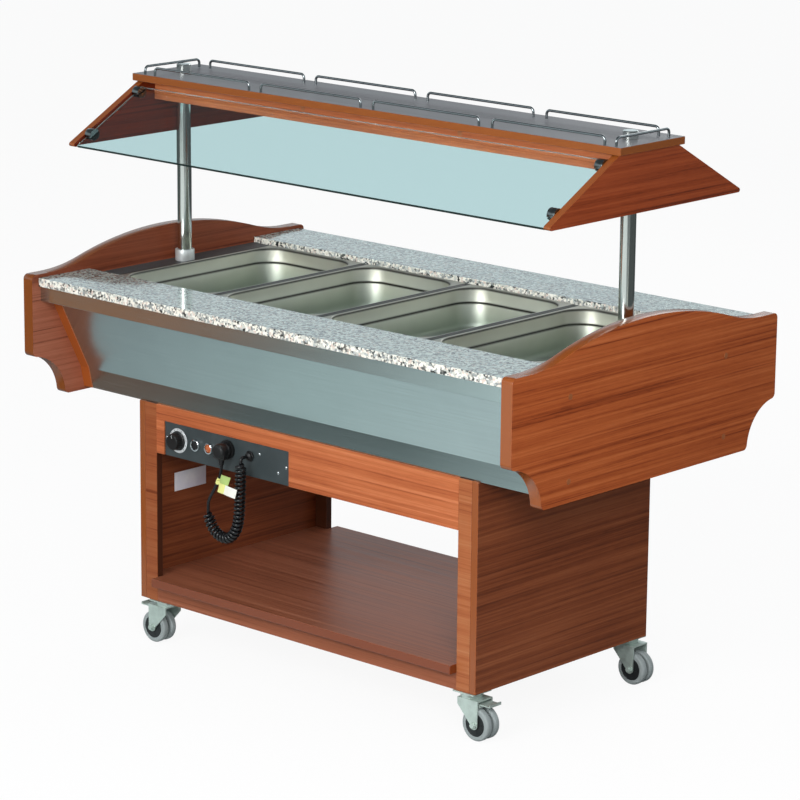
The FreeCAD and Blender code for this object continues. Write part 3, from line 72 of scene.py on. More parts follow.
# small tools for colours and shader nodes
looks = {}  # the materials by name


def tone(red, green, blue):
    def straight(value):  # from the 0 to 255 of a picture to light
        value /= 255
        return value / 12.92 if value <= 0.04045 else ((value + 0.055) / 1.055) ** 2.4
    return (straight(red), straight(green), straight(blue), 1)


def dimmed(colour, share):
    return tuple(share * part for part in colour[:3]) + (1,)


def newMaterial(name):
    material = bpy.data.materials.new(name)
    material.use_nodes = True
    looks[name] = material
    return material.node_tree, material.node_tree.nodes["Principled BSDF"]


def setInputs(tree, node, inputs):
    for key, value in inputs.items():
        if isinstance(value, bpy.types.NodeSocket):
            tree.links.new(value, node.inputs[key])
        else:
            node.inputs[key].default_value = value


def addNode(tree, kind, inputs=None, **options):
    node = tree.nodes.new("ShaderNode" + kind)
    for key, value in options.items():
        setattr(node, key, value)
    setInputs(tree, node, inputs or {})
    return node


def stretched(tree, scale, shift=(0, 0, 0)):
    spot = addNode(tree, "TexCoord").outputs["Object"]
    return addNode(tree, "Mapping", {"Vector": spot, "Scale": scale, "Location": shift}).outputs["Vector"]


def noise(tree, vector, detail=2, roughness=0.5, distortion=0):
    inputs = {"Vector": vector, "Scale": 1, "Detail": detail, "Roughness": roughness,
              "Distortion": distortion}
    return addNode(tree, "TexNoise", inputs).outputs["Fac"]


def evenNoise(tree, size, detail=2, roughness=0.5):
    return noise(tree, stretched(tree, (size, size, size)), detail, roughness)


def ramp(tree, factor, stops, interpolation="LINEAR"):
    stops = list(stops)
    node = addNode(tree, "ValToRGB", {"Fac": factor})
    node.color_ramp.interpolation = interpolation
    band = node.color_ramp.elements
    while len(band) < len(stops):
        band.new(0.5)
    for mark, (place, colour) in zip(band, stops):
        mark.position = place
        mark.color = colour if isinstance(colour, tuple) else (colour, colour, colour, 1)
    return node.outputs["Color"]


def shaded(tree, factor, places, colour, dim):
    # a colour that is dimmer in spots
    return ramp(tree, factor, zip(places, (dimmed(colour, dim), colour)))


def spread(tree, factor, stops, amount):
    # an amount that is a little more or less in spots
    return ramp(tree, factor, [(place, amount * share) for place, share in stops])


def blend(tree, factor, first, second, kind="MIX"):
    inputs = {0: factor, 6: first, 7: second}
    return addNode(tree, "Mix", inputs, data_type="RGBA", blend_type=kind).outputs[2]


def mixShaders(tree, factor, first, second):
    return addNode(tree, "MixShader", {0: factor, 1: first.outputs[0], 2: second.outputs[0]})


def setSurface(tree, shader, output="Material Output"):
    tree.links.new(shader.outputs[0], tree.nodes[output].inputs["Surface"])


def sums(tree, operation, first, second):
    return addNode(tree, "Math", {0: first, 1: second}, operation=operation).outputs[0]


def amountOf(tree, value):
    return addNode(tree, "Math", {0: value}, operation="ABSOLUTE").outputs[0]


def placeAlong(tree, axis):
    # how far a spot of the surface is along one axis
    spot = addNode(tree, "TexCoord").outputs["Object"]
    return addNode(tree, "SeparateXYZ", {0: spot}).outputs[axis]


def between(tree, value, start, end):
    # 0 at the start and 1 at the end
    return addNode(tree, "MapRange", {"Value": value, 1: start, 2: end}).outputs[0]


def bumpFrom(tree, shader, height, strength, distance):
    node = addNode(tree, "Bump", {"Height": height, "Strength": strength, "Distance": distance})
    tree.links.new(node.outputs["Normal"], shader.inputs["Normal"])


def facing(tree, axis):
    # 1 where the surface looks along an axis, 0 where it looks across it
    normal = addNode(tree, "NewGeometry").outputs["True Normal"]
    along = addNode(tree, "VectorMath", {0: normal, 1: axis}, operation="DOT_PRODUCT").outputs["Value"]
    return amountOf(tree, along)


def grainScale(along, lengthwise, across):
    return tuple(lengthwise if axis == along else across for axis in "xyz")


# wood-grain laminate, with a plain edge band where a board is seen on edge
laminateTones = {
    "red": (tone(112, 44, 16), tone(162, 76, 34), tone(182, 92, 44), tone(206, 118, 66)),
    # painted shade: a darker copy of the same laminate, for the base sides
    "side": (tone(80, 36, 16), tone(118, 58, 30), tone(136, 72, 40), tone(160, 94, 58)),
    # painted light: brighter copies of the same laminate, for the front faces and the stiles
    "front": (tone(130, 60, 30), tone(172, 90, 50), tone(190, 106, 62), tone(212, 134, 90)),
    "stile": (tone(156, 76, 36), tone(206, 114, 64), tone(222, 132, 78), tone(238, 158, 106)),
    "low": (tone(106, 52, 30), tone(138, 76, 48), tone(150, 86, 58), tone(168, 104, 76)),
    # painted shade: a darker copy of the same laminate, for the canopy ends
    "end": (tone(94, 34, 12), tone(138, 58, 24), tone(156, 70, 32), tone(178, 92, 50)),
    # painted light and painted sheen: a paler, pinker copy of the same laminate, for the left panel
    "left": (tone(96, 48, 34), tone(150, 84, 60), tone(168, 98, 72), tone(186, 118, 92)),
    # painted shade: a darker copy of the same laminate, for the basin floor
    "inside": (tone(72, 34, 16), tone(108, 54, 28), tone(128, 68, 38), tone(156, 90, 54)),
    "shelf": (tone(98, 54, 36), tone(136, 78, 54), tone(154, 92, 66), tone(176, 112, 84)),
    # painted reflection: grey tones stand in for the sky mirrored on the board's laminate top
    "top": (tone(70, 66, 70), tone(98, 95, 99), tone(114, 110, 115), tone(134, 130, 135)),
}
bandTone = tone(152, 80, 32)
laminate = {
    # scale along and across the grain, detail, roughness, distortion, share in the figure
    "layers": {
        "streaks": (0.9, 90, 4, 0.6, 0.15, 0.42),
        "lines": (1.6, 240, 2, 0.5, 0.1, 0.24),
        "pores": (26, 620, 2, 0.6, 0, 0.18),
        "cloud": (2.2, 2.2, 2, 0.5, 0, 0.16),
    },
    "seedShift": (3.1, 1.7, 2.3),
    "toneStops": (0.36, 0.45, 0.53, 0.66),
    "darkLines": [(0.26, 0.65), (0.38, 0.0)],
    "darkPores": [(0.58, 0.0), (0.76, 0.4)],
    "edgeTurn": [(0.82, 1.0), (0.92, 0.0)],
    "edgeWear": (0.5, 0.7),  # how patchy, and how dim
    # painted shade on faces behind the outer face: how patchy, and how dim
    "insideShadeWear": (0.6, 0.4),
    "insideShadeStep": 0.0006,
    "gloss": [(0.3, 0.32), (0.7, 0.44)],
    "sheen": 0.3,
    "edgeGloss": (0.2, 0.2, 0.2, 1),
    "edgeSheen": 0.7,
    "bump": (0.12, 0.0004),
}
sideways, upward = (1, 0, 0), (0, 0, 1)  # the way a board's broad face looks


def woodMaterial(name, along, tones, seed, face=None, band=bandTone, inside=None, shadePast=None,
                 sheen=laminate["sheen"]):
    tree, shader = newMaterial(name)
    shift = tuple(seed * part for part in laminate["seedShift"])
    layers = {}
    figure = None
    for key, (lengthwise, across, detail, roughness, distortion, share) in laminate["layers"].items():
        vector = stretched(tree, grainScale(along, lengthwise, across), shift)
        layers[key] = noise(tree, vector, detail, roughness, distortion)
        part = sums(tree, "MULTIPLY", layers[key], share)
        figure = sums(tree, "ADD", figure, part) if figure else part
    tones = laminateTones[tones]
    colour = ramp(tree, figure, zip(laminate["toneStops"], tones))
    colour = blend(tree, ramp(tree, layers["lines"], laminate["darkLines"]), colour, tones[0])
    colour = blend(tree, ramp(tree, layers["pores"], laminate["darkPores"]), colour, tones[0])
    if shadePast:  # painted shade: darker colour past a place on one axis
        axis, start, end, dim = shadePast
        past = between(tree, placeAlong(tree, axis), start, end)
        colour = blend(tree, past, colour, blend(tree, 1.0, colour, dim, "MULTIPLY"))
    rough = ramp(tree, layers["streaks"], laminate["gloss"])
    if face:
        onEdge = ramp(tree, facing(tree, face), laminate["edgeTurn"])
        patchy, dim = laminate["edgeWear"]
        plain = blend(tree, sums(tree, "MULTIPLY", layers["cloud"], patchy), band, dimmed(band, dim))
        colour = blend(tree, onEdge, colour, plain)
        rough = blend(tree, onEdge, rough, laminate["edgeGloss"])
        sheen = ramp(tree, onEdge, [(0.0, sheen), (1.0, laminate["edgeSheen"])])
    if inside:  # painted shade: faces behind the outer face are darker
        reach, shadeTone = inside
        depth = amountOf(tree, placeAlong(tree, "Y"))
        within = ramp(tree, depth, [(reach - laminate["insideShadeStep"], 1.0), (reach, 0.0)])
        patchy, dim = laminate["insideShadeWear"]
        shade = blend(tree, sums(tree, "MULTIPLY", layers["streaks"], patchy), shadeTone, dimmed(shadeTone, dim))
        colour = blend(tree, within, colour, shade)
    setInputs(tree, shader, {"Base Color": colour, "Roughness": rough, "Specular IOR Level": sheen})
    bumpFrom(tree, shader, layers["pores"], *laminate["bump"])


woodMaterial("panelWood", "y", "red", 1, sideways)
# painted light and painted shade: paler and pinker below the counter, darker above it
woodMaterial("leftPanelWood", "y", "left", 12, sideways, tone(132, 70, 26),
             shadePast=("Z", 0.835, 0.855, (0.62, 0.49, 0.38, 1)))
# painted shade: the left canopy end is darker
woodMaterial("canopyEndWood", "y", "end", 2, sideways, shadePast=("X", -0.6, -0.7, (0.46, 0.27, 0.17, 1)))
woodMaterial("sideWood", "y", "side", 3, sideways)
woodMaterial("boardWood", "x", "top", 4, upward, tone(146, 80, 34), sheen=0.6)
woodMaterial("railWood", "x", "front", 5)
woodMaterial("frontWood", "x", "front", 6)
# painted shade: dark faces behind the front face, and the left stiles darker than the right
woodMaterial("stileWood", "x", "stile", 11, inside=(0.2945, tone(78, 38, 20)),
             shadePast=("X", 0.2, -0.2, (0.80, 0.72, 0.66, 1)))
woodMaterial("shelfWood", "x", "shelf", 7, upward, tone(130, 60, 24))
woodMaterial("lowWood", "x", "low", 13)
woodMaterial("floorWood", "x", "inside", 8)
woodMaterial("cheekWood", "y", "front", 9, sideways, tone(166, 84, 34))


# sheet steel with brushing along one axis
steel = {
    "lines": 2400,
    "lineLength": 4,
    "cloud": (5, 3, 0.55),  # scale, detail and roughness
    "shares": (0.7, 0.3),
    "dim": 0.8,
    "shadeStops": (0.3, 0.7),
    "rough": [(0.3, 0.8), (0.7, 1.25)],
    "anisotropy": 0.4,
    "bump": (0.05, 0.0002),
}
steels = {  # colour, axis of the brushing, roughness, metallic share
    "fasciaSteel": (tone(200, 216, 216), "x", 0.2),
    "deckSteel": (tone(84, 90, 92), "x", 0.5, 0.2),
    "barSteel": (tone(170, 174, 168), "y", 0.3),
    "satinPost": (tone(222, 228, 224), "z", 0.12),
}


def steelMaterial(name, colour, along, rough, metallic=1.0):
    tree, shader = newMaterial(name)
    lines = noise(tree, stretched(tree, grainScale(along, steel["lineLength"], steel["lines"])))
    lineShare, cloudShare = steel["shares"]
    cloud = sums(tree, "MULTIPLY", evenNoise(tree, *steel["cloud"]), cloudShare)
    shade = sums(tree, "ADD", sums(tree, "MULTIPLY", lines, lineShare), cloud)
    setInputs(tree, shader, {
        "Base Color": shaded(tree, shade, steel["shadeStops"], colour, steel["dim"]),
        "Roughness": spread(tree, lines, steel["rough"], rough),
        "Metallic": metallic,
        "Anisotropic": steel["anisotropy"],
    })
    bumpFrom(tree, shader, lines, *steel["bump"])


for name, settings in steels.items():
    steelMaterial(name, *settings)


# drawn steel of the pans, with painted shade: darker towards the floor, in the creases and where two pans
# meet
drawn = {
    "colour": tone(220, 219, 208),
    "smear": (7, 3, 0.5),
    "fine": (900, 60, 900),
    "dim": 0.88,
    "smearStops": (0.35, 0.65),
    "roughness": 0.46,
    "rough": [(0.3, 0.9), (0.7, 1.15)],
    "bump": (0.01, 0.0001),
    "reach": (0.75, 0.853),  # heights of the floor and the rim
    "floorShade": [(0.0, (0.66, 0.77, 0.76, 1)), (0.66, (0.86, 0.89, 0.86, 1)),
                (0.97, (0.92, 0.92, 0.89, 1)), (1.0, (1, 1, 1, 1))],
    "creases": [0.8183, 0.8501],  # painted shade: dark lines at the shoulder and under the rolled rim
    "creaseFade": [(0.0011, 1.0), (0.0022, 0.0)],
    "creaseShadeTone": tone(52, 50, 46),
    # painted shadow: dark line along the flange where two pans meet
    "gapPitch": 0.326,
    "gapShadowFade": [(0.0024, 0.0), (0.0032, 1.0), (0.0108, 1.0), (0.0116, 0.0)],
    "gapShadowLevel": [(0.955, 0.0), (0.975, 1.0)],
    "gapShadowTone": tone(38, 44, 48),
}


def panMaterial():
    tree, shader = newMaterial("drawnSteel")
    smear = evenNoise(tree, *drawn["smear"])
    fine = noise(tree, stretched(tree, drawn["fine"]))
    colour = shaded(tree, smear, drawn["smearStops"], drawn["colour"], drawn["dim"])
    height = placeAlong(tree, "Z")
    depth = between(tree, height, *drawn["reach"])
    colour = blend(tree, 1.0, colour, ramp(tree, depth, drawn["floorShade"]), "MULTIPLY")
    for level in drawn["creases"]:
        away = amountOf(tree, sums(tree, "SUBTRACT", height, level))
        colour = blend(tree, ramp(tree, away, drawn["creaseFade"]), colour, drawn["creaseShadeTone"])
    away = sums(tree, "PINGPONG", placeAlong(tree, "X"), drawn["gapPitch"] / 2)
    onTop = ramp(tree, depth, drawn["gapShadowLevel"])
    gapShadow = blend(tree, 1.0, ramp(tree, away, drawn["gapShadowFade"]), onTop, "MULTIPLY")
    setInputs(tree, shader, {
        "Base Color": blend(tree, gapShadow, colour, drawn["gapShadowTone"]),
        "Roughness": spread(tree, smear, drawn["rough"], drawn["roughness"]),
        "Metallic": 1,
    })
    bumpFrom(tree, shader, fine, *drawn["bump"])


panMaterial()


# plated and polished metal with faint smears
polish = {
    "smear": (4, 0.6),  # detail and roughness
    "fine": 900,
    "dim": 0.82,
    "smearStops": (0.35, 0.6),
    "rough": [(0.35, 1.0), (0.75, 1.9)],
    "bump": (0.03, 0.0001),
}
polished = {  # colour, roughness, scale of the smears, metallic share
    "clampChrome": (tone(120, 126, 126), 0.12, 200),
    "railChrome": (tone(164, 170, 172), 0.1),
    "brightChrome": (tone(222, 226, 228), 0.07),
    "brightZinc": (tone(206, 220, 212), 0.3, 40, 0.6),
    "heaterSteel": (tone(112, 104, 98), 0.35, 60),
    "valveBrass": (tone(206, 172, 102), 0.24, 60),
    "dialSilver": (tone(226, 230, 232), 0.28, 60, 0.3),
    "satinCollar": (tone(222, 226, 226), 0.32, 30, 0.55),
}


def polishedMaterial(name, colour, rough, spots=14, metallic=1.0):
    tree, shader = newMaterial(name)
    smear = evenNoise(tree, spots, *polish["smear"])
    setInputs(tree, shader, {
        "Base Color": shaded(tree, smear, polish["smearStops"], colour, polish["dim"]),
        "Roughness": spread(tree, smear, polish["rough"], rough),
        "Metallic": metallic,
    })
    bumpFrom(tree, shader, evenNoise(tree, polish["fine"]), *polish["bump"])


for name, settings in polished.items():
    polishedMaterial(name, *settings)


# moulded plastic, rubber, paint and paper with a fine grain
moulding = {
    "smear": (22, 3, 0.55),
    "grain": (2, 0.6),
    "lift": (1.25, 0.004),  # how much paler the smears are
    "smearStops": (0.35, 0.75),
    "rough": [(0.3, 0.85), (0.7, 1.15)],
    "bumpDistance": 0.0003,
}
moulded = {  # colour, roughness, scale and depth of the grain
    "leverPaint": (tone(176, 36, 28), 0.4),
    "plateAnthracite": (tone(52, 60, 62), 0.42, 2600, 0.25),
    "blackPlastic": (tone(15, 15, 16), 0.38),
    "glossyBlack": (tone(20, 20, 22), 0.18, 400, 0.02),
    "amberLens": (tone(182, 92, 46), 0.15, 300, 0.02),
    "cordRubber": (tone(13, 13, 15), 0.2, 1800, 0.04),
    "tagYellow": (tone(226, 226, 140), 0.6, 800, 0.05),
    "tagGreen": (tone(166, 190, 112), 0.6, 800, 0.05),
    "tagWhite": (tone(246, 244, 226), 0.6, 800, 0.05),
    "hubPlastic": (tone(17, 20, 22), 0.45),
    "greyTyre": (tone(146, 154, 154), 0.55, 700, 0.25),
    "capPlastic": (tone(152, 88, 48), 0.4),
    "plateSilver": (tone(226, 228, 240), 0.45, 300, 0.03),
}


def mouldedMaterial(name, colour, rough, grain=1500, depth=0.15):
    tree, shader = newMaterial(name)
    smear = evenNoise(tree, *moulding["smear"])
    gain, extra = moulding["lift"]
    pale = tuple(min(1, gain * part + extra) for part in colour[:3]) + (1,)
    setInputs(tree, shader, {
        "Base Color": ramp(tree, smear, zip(moulding["smearStops"], (colour, pale))),
        "Roughness": spread(tree, smear, moulding["rough"], rough),
    })
    bumpFrom(tree, shader, evenNoise(tree, grain, *moulding["grain"]), depth, moulding["bumpDistance"])


for name, settings in moulded.items():
    mouldedMaterial(name, *settings)


# polished granite: pale and pink grains with black flecks
granite = {
    "grain": 190,
    "wander": 300,
    "wanderReach": 0.006,
    "grains": [(0.0, tone(150, 156, 154)), (0.12, tone(208, 209, 201)), (0.38, tone(240, 236, 224)),
               (0.62, tone(222, 206, 194)), (0.72, tone(246, 244, 234)), (0.92, tone(184, 190, 188))],
    "flecks": [(0.0, 1.0), (0.24, 0.0)],
    "fleckTone": tone(24, 30, 29),
    "patch": 60,
    "patchStops": [(0.38, 0.5), (0.58, 1.0)],
    "topTurn": [(0.6, 0.0), (0.9, 1.0)],
    # painted shade and painted sky reflection: the polished top is darker and bluish
    "topShade": (0.52, 0.64, 0.66, 1),
    "rough": [(0.0, 0.5), (1.0, 0.14)],  # sawn edge, polished top
    "coat": 0.4,
    "coatRough": 0.05,
}


def graniteMaterial():
    tree, shader = newMaterial("polishedGranite")
    spot = stretched(tree, (1, 1, 1))
    wander = addNode(tree, "TexNoise", {"Vector": spot, "Scale": granite["wander"], "Detail": 2})
    nudge = addNode(tree, "VectorMath", {0: wander.outputs["Color"], "Scale": granite["wanderReach"]},
                    operation="SCALE").outputs["Vector"]
    spot = addNode(tree, "VectorMath", {0: spot, 1: nudge}, operation="ADD").outputs["Vector"]
    cells = addNode(tree, "TexVoronoi", {"Vector": spot, "Scale": granite["grain"]}).outputs["Color"]
    picks = addNode(tree, "SeparateColor", {"Color": cells}).outputs
    colour = ramp(tree, picks["Red"], granite["grains"], "CONSTANT")
    patches = ramp(tree, evenNoise(tree, granite["patch"]), granite["patchStops"])
    flecks = ramp(tree, picks["Green"], granite["flecks"], "CONSTANT")
    flecks = blend(tree, 1.0, flecks, patches, "MULTIPLY")
    colour = blend(tree, flecks, colour, granite["fleckTone"])
    onTop = ramp(tree, facing(tree, upward), granite["topTurn"])
    setInputs(tree, shader, {
        "Base Color": blend(tree, onTop, colour, blend(tree, 1.0, colour, granite["topShade"], "MULTIPLY")),
        "Roughness": ramp(tree, onTop, granite["rough"]),
        "Coat Weight": granite["coat"],
        "Coat Roughness": granite["coatRough"],
    })


graniteMaterial()


# clear panes, green where they are seen on edge
glass = {
    "tint": (0.92, 0.97, 0.97, 1),
    "edge": (0.02, 0.16, 0.13, 1),
    "slope": (0.485, 0.874),  # how far a pane's face looks outward and up
    "faceTurn": [(0.9, 0.0), (0.96, 1.0)],
    "edgeRough": (0.5, 0.5, 0.5, 1),
    "smear": (9, 3),
    "rough": [(0.4, 0.0), (0.8, 0.03)],
    "ior": 1.45,
    "through": (0.86, 0.93, 0.93, 1),
}


def glassMaterial():
    tree, shader = newMaterial("clearGlass")
    outward, up = glass["slope"]
    front = facing(tree, (0, -outward, up))
    back = facing(tree, (0, outward, up))
    flat = ramp(tree, sums(tree, "MAXIMUM", front, back), glass["faceTurn"])
    smear = ramp(tree, evenNoise(tree, *glass["smear"]), glass["rough"])
    setInputs(tree, shader, {
        "Base Color": blend(tree, flat, glass["edge"], glass["tint"]),
        "Roughness": blend(tree, flat, glass["edgeRough"], smear),
        "Transmission Weight": 1,
        "IOR": glass["ior"],
    })
    lamplight = addNode(tree, "LightPath").outputs["Is Shadow Ray"]
    clear = addNode(tree, "BsdfTransparent", {"Color": glass["through"]})
    setSurface(tree, mixShaders(tree, lamplight, shader, clear))


glassMaterial()
print("materials made,", len(bpy.data.materials))


# tools for meshes
mergeReach = 1e-7
sides = {"hexagon": 6, "thin": 24, "small": 28, "middle": 32, "dome": 40, "large": 56}  # of turned pieces
toFront, toBack, downward = (0, -1, 0), (0, 1, 0), (0, 0, -1)


def meshPiece(name, work, look, body="counter", sharp=35):
    bmesh.ops.remove_doubles(work, verts=work.verts, dist=mergeReach)
    bmesh.ops.recalc_face_normals(work, faces=work.faces)
    mesh = bpy.data.meshes.new(name)
    work.to_mesh(mesh)
    work.free()
    mesh.materials.append(looks[look])
    mesh.polygons.foreach_set("use_smooth", [True] * len(mesh.polygons))
    mesh.set_sharp_from_angle(angle=math.radians(sharp))
    piece = bpy.data.objects.new(name, mesh)
    scene.collection.objects.link(piece)
    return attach(piece, body)


def latheInto(work, profile, place, segments, flute=None):
    # profile is radius and height pairs, from one end of the axis to the other
    rings = []
    for radius, height in profile:
        if radius == 0:
            rings.append([work.verts.new(place @ Vector((0, 0, height)))])
            continue
        ring = []
        for step in range(segments):
            angle = 2 * math.pi * step / segments
            reach = radius * (flute(angle, height) if flute else 1)
            spot = Vector((reach * math.cos(angle), reach * math.sin(angle), height))
            ring.append(work.verts.new(place @ spot))
        rings.append(ring)
    for lower, upper in zip(rings, rings[1:]):
        count = max(len(lower), len(upper))
        for step in range(count):
            after = (step + 1) % count
            corners = [lower[step % len(lower)], lower[after % len(lower)],
                       upper[after % len(upper)], upper[step % len(upper)]]
            work.faces.new(list(dict.fromkeys(corners)))


def scaledProfile(profile, radius):
    # the radii are given as shares of one radius
    return [(radius * share, height) for share, height in profile]


def boxInto(work, low, high, edge, segments=2, place=Matrix()):
    made = bmesh.ops.create_cube(work, size=1)["verts"]
    low, high = Vector(low), Vector(high)
    for vert in made:
        vert.co = low + (high - low) * 0.5 + Vector(a * b for a, b in zip(vert.co, high - low))
    edges = list({line for vert in made for line in vert.link_edges})
    made = bmesh.ops.bevel(work, geom=edges, offset=edge, segments=segments, profile=0.5,
                           affect="EDGES")["verts"]
    for vert in set(made):
        vert.co = place @ vert.co


def turnTo(direction, spot):
    # Z of a small piece runs along a direction from a spot
    return Matrix.Translation(spot) @ Vector(direction).to_track_quat("Z", "Y").to_matrix().to_4x4()


# cord: out of the gland, wound down and back up, then a tail to the plug
cord = {
    "diameter": 0.0074,
    "route": [(-0.163, -0.304, 0.514), (-0.163, -0.308, 0.514), (-0.163, -0.323, 0.514),
              (-0.163, -0.323, 0.499), (-0.165, -0.323, 0.4345), (-0.170, -0.323, 0.352),
              (-0.197, -0.323, 0.3175), (-0.236, -0.323, 0.3175), (-0.266, -0.323, 0.348),
              (-0.268, -0.323, 0.370)],
    "tail": [(-0.268, -0.323, 0.3774), (-0.268, -0.323, 0.3954), (-0.2485, -0.318, 0.4287),
             (-0.235, -0.313, 0.462), (-0.235, -0.313, 0.482)],
    "coil": 0.0098,
    "turns": 30,
    "ramp": 1.25,
    "leadIn": 0.026,
    "leadGap": 0.004,
    "leadEvery": 3,
    "steps": 16,
    "length": 1.949,
    "routeSteps": 12,
    "cableSteps": 3,
    "roundness": 4,
}


def nurbsCurve(name, points, steps):
    data = bpy.data.curves.new(name, "CURVE")
    data.dimensions = "3D"
    spline = data.splines.new("NURBS")
    spline.points.add(len(points) - 1)
    for mark, spot in zip(spline.points, points):
        mark.co = (*spot, 1)
    spline.order_u = 3
    spline.use_endpoint_u = True
    spline.resolution_u = steps
    return bpy.data.objects.new(name, data)


def curvePoints(curve):
    scene.collection.objects.link(curve)
    bpy.context.view_layer.update()
    mesh = bpy.data.meshes.new_from_object(curve)
    spots = [vert.co.copy() for vert in mesh.vertices]
    bpy.data.meshes.remove(mesh)
    bpy.data.objects.remove(curve)
    return spots


def windCord():
    spots = curvePoints(nurbsCurve("cordRoute", cord["route"], cord["routeSteps"]))
    runs = [0.0]
    for before, after in zip(spots, spots[1:]):
        runs.append(runs[-1] + (after - before).length)
    wound = runs[-1] - cord["leadIn"]
    lead = [spot for spot, run in zip(spots, runs) if run < cord["leadIn"] - cord["leadGap"]]
    helix = lead[::cord["leadEvery"]]
    total = cord["turns"] * cord["steps"]
    index = 0
    for step in range(total + 1):
        run = cord["leadIn"] + wound * step / total
        while index < len(runs) - 2 and runs[index + 1] < run:
            index += 1
        share = (run - runs[index]) / (runs[index + 1] - runs[index])
        centre = spots[index].lerp(spots[index + 1], share)
        heading = (spots[index + 1] - spots[index]).normalized()
        outward = Vector(toFront)
        outward = (outward - heading * outward.dot(heading)).normalized()
        across = heading.cross(outward)
        turn = step / cord["steps"]
        swell = min(turn, cord["turns"] - turn, cord["ramp"]) / cord["ramp"]
        swell = cord["coil"] * swell * swell * (3 - 2 * swell)
        angle = 2 * math.pi * turn
        helix.append(centre + outward * (swell * math.cos(angle)) + across * (swell * math.sin(angle)))
    points = helix + [Vector(spot) for spot in cord["tail"]]
    cable = nurbsCurve("curlyCable", points, cord["cableSteps"])
    cable.data.bevel_depth = cord["diameter"] / 2
    cable.data.bevel_resolution = cord["roundness"]
    cable.data.use_fill_caps = True
    cable.data.materials.append(looks["cordRubber"])
    scene.collection.objects.link(cable)
    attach(cable, "counter")
    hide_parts("curly_cord", "cord_tail")
    return cable


curlyCable = windCord()
print("cord wound")


# plug parked in its holder, with a ribbed boss where the cable enters
plug = {
    "spot": (-0.235, -0.298, 0.516),
    "radius": 0.0175,
    "length": 0.030,
    "profile": [(0, 0), (0.94, 0), (1, 0.0012), (1, 0.007), (0.95, 0.0078), (0.95, 0.0095), (1, 0.0103),
                (1, 0.024), (0.93, 0.0278), (0.8, 0.0296), (0.55, 0.030), (0, 0.030)],
    "neck": [(0, 0.004), (0.0085, 0.004), (0.0082, 0.0185)],
    "ribs": 4,
    "ribStart": (0.0078, 0.0195),  # radius, and place down the boss
    "ribStep": (-0.0006, 0.0034),
    "rib": [(0, 0), (0, 0.0016), (-0.0012, 0.0021), (-0.0012, 0.003)],
    "tip": [(0.0052, 0.033), (0.0046, 0.034), (0, 0.034)],
    "block": [(-0.018, -0.026, -0.018), (0.018, -0.011, 0.006)],
    "blockEdge": 0.004,
}


def makePlug():
    work = bmesh.new()
    spot = Vector(plug["spot"])
    latheInto(work, scaledProfile(plug["profile"], plug["radius"]), turnTo(toFront, spot), sides["large"])
    boss = list(plug["neck"])
    for index in range(plug["ribs"]):  # ribs of the strain relief
        girth, start = (first + index * step for first, step in zip(plug["ribStart"], plug["ribStep"]))
        boss += [(girth + radius, start + height) for radius, height in plug["rib"]]
    boss += plug["tip"]
    middle = spot - Vector((0, plug["length"] / 2, 0))
    latheInto(work, boss, turnTo(downward, middle), sides["middle"])
    low, high = plug["block"]
    boxInto(work, spot + Vector(low), spot + Vector(high), plug["blockEdge"], 3)
    piece = meshPiece("parkedPlug", work, "blackPlastic")
    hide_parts("plug")
    return piece


# blank tag folded round the tail, a green flag over a pale one
tag = {
    "spot": (-0.2418, -0.3155, 0.4454),
    "heading": (0.0135, 0.005, 0.0333),
    "thickness": 0.0006,
    "bow": 0.0012,
    "rise": 0.5,
    "columns": 8,
    "rows": 6,
    "wrapLength": 0.014,
    "wrap": [(0.0041, 0), (0.0050, 0), (0.0050, 0.014), (0.0041, 0.014), (0.0041, 0)],
    "fold": [(-0.2395, -0.3272, 0.4400), (-0.2230, -0.3187, 0.4485)],
    "foldEdge": 0.0008,
}
tagFlags = {  # low corner, then the ways across and up
    "tagGreenFlag": [(-0.2300, -0.3262, 0.4450), (0.0330, -0.0040, -0.0005), (0.0088, 0.0008, 0.0205)],
    "tagYellowFlag": [(-0.2330, -0.3275, 0.4236), (0.0240, -0.0050, -0.0002), (0.0072, 0.0006, 0.0222)],
    "tagWhiteFlag": [(-0.2090, -0.3325, 0.4236), (0.0470, -0.0105, -0.0002), (0.0072, 0.0006, 0.0222)],
}


def makeFlag(name, look):
    work = bmesh.new()
    low, across, up = (Vector(spot) for spot in tagFlags[name])
    columns, rows = tag["columns"], tag["rows"]
    normal = across.cross(up).normalized()
    rims = []
    for side in (-1, 1):
        grid = []
        for row in range(rows + 1):
            line = []
            for column in range(columns + 1):
                share, rise = column / columns, row / rows
                curl = tag["bow"] * (math.sin(math.pi * share) + tag["rise"] * rise * rise)
                spot = low + across * share + up * rise + normal * (curl + side * tag["thickness"] / 2)
                line.append(work.verts.new(spot))
            grid.append(line)
        for row in range(rows):
            for column in range(columns):
                work.faces.new((grid[row][column], grid[row][column + 1], grid[row + 1][column + 1],
                                grid[row + 1][column]))
        right = [line[-1] for line in grid[1:]]
        left = [line[0] for line in grid[-2:0:-1]]
        rims.append(grid[0] + right + grid[-1][-2::-1] + left)
    for index in range(len(rims[0])):
        after = (index + 1) % len(rims[0])
        work.faces.new((rims[0][index], rims[0][after], rims[1][after], rims[1][index]))
    piece = meshPiece(name, work, look)
    return piece


def makeTags():
    flags = [makeFlag("tagGreenFlag", "tagGreen"), makeFlag("tagYellowFlag", "tagYellow"),
             makeFlag("tagWhiteFlag", "tagWhite")]
    work = bmesh.new()
    heading = Vector(tag["heading"]).normalized()
    start = Vector(tag["spot"]) - heading * (tag["wrapLength"] / 2)
    latheInto(work, tag["wrap"], turnTo(heading, start), sides["middle"])
    boxInto(work, *tag["fold"], tag["foldEdge"])
    sleeve = meshPiece("tagSleeve", work, "tagYellow")
    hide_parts("cord_tag")
    return [*flags, sleeve]


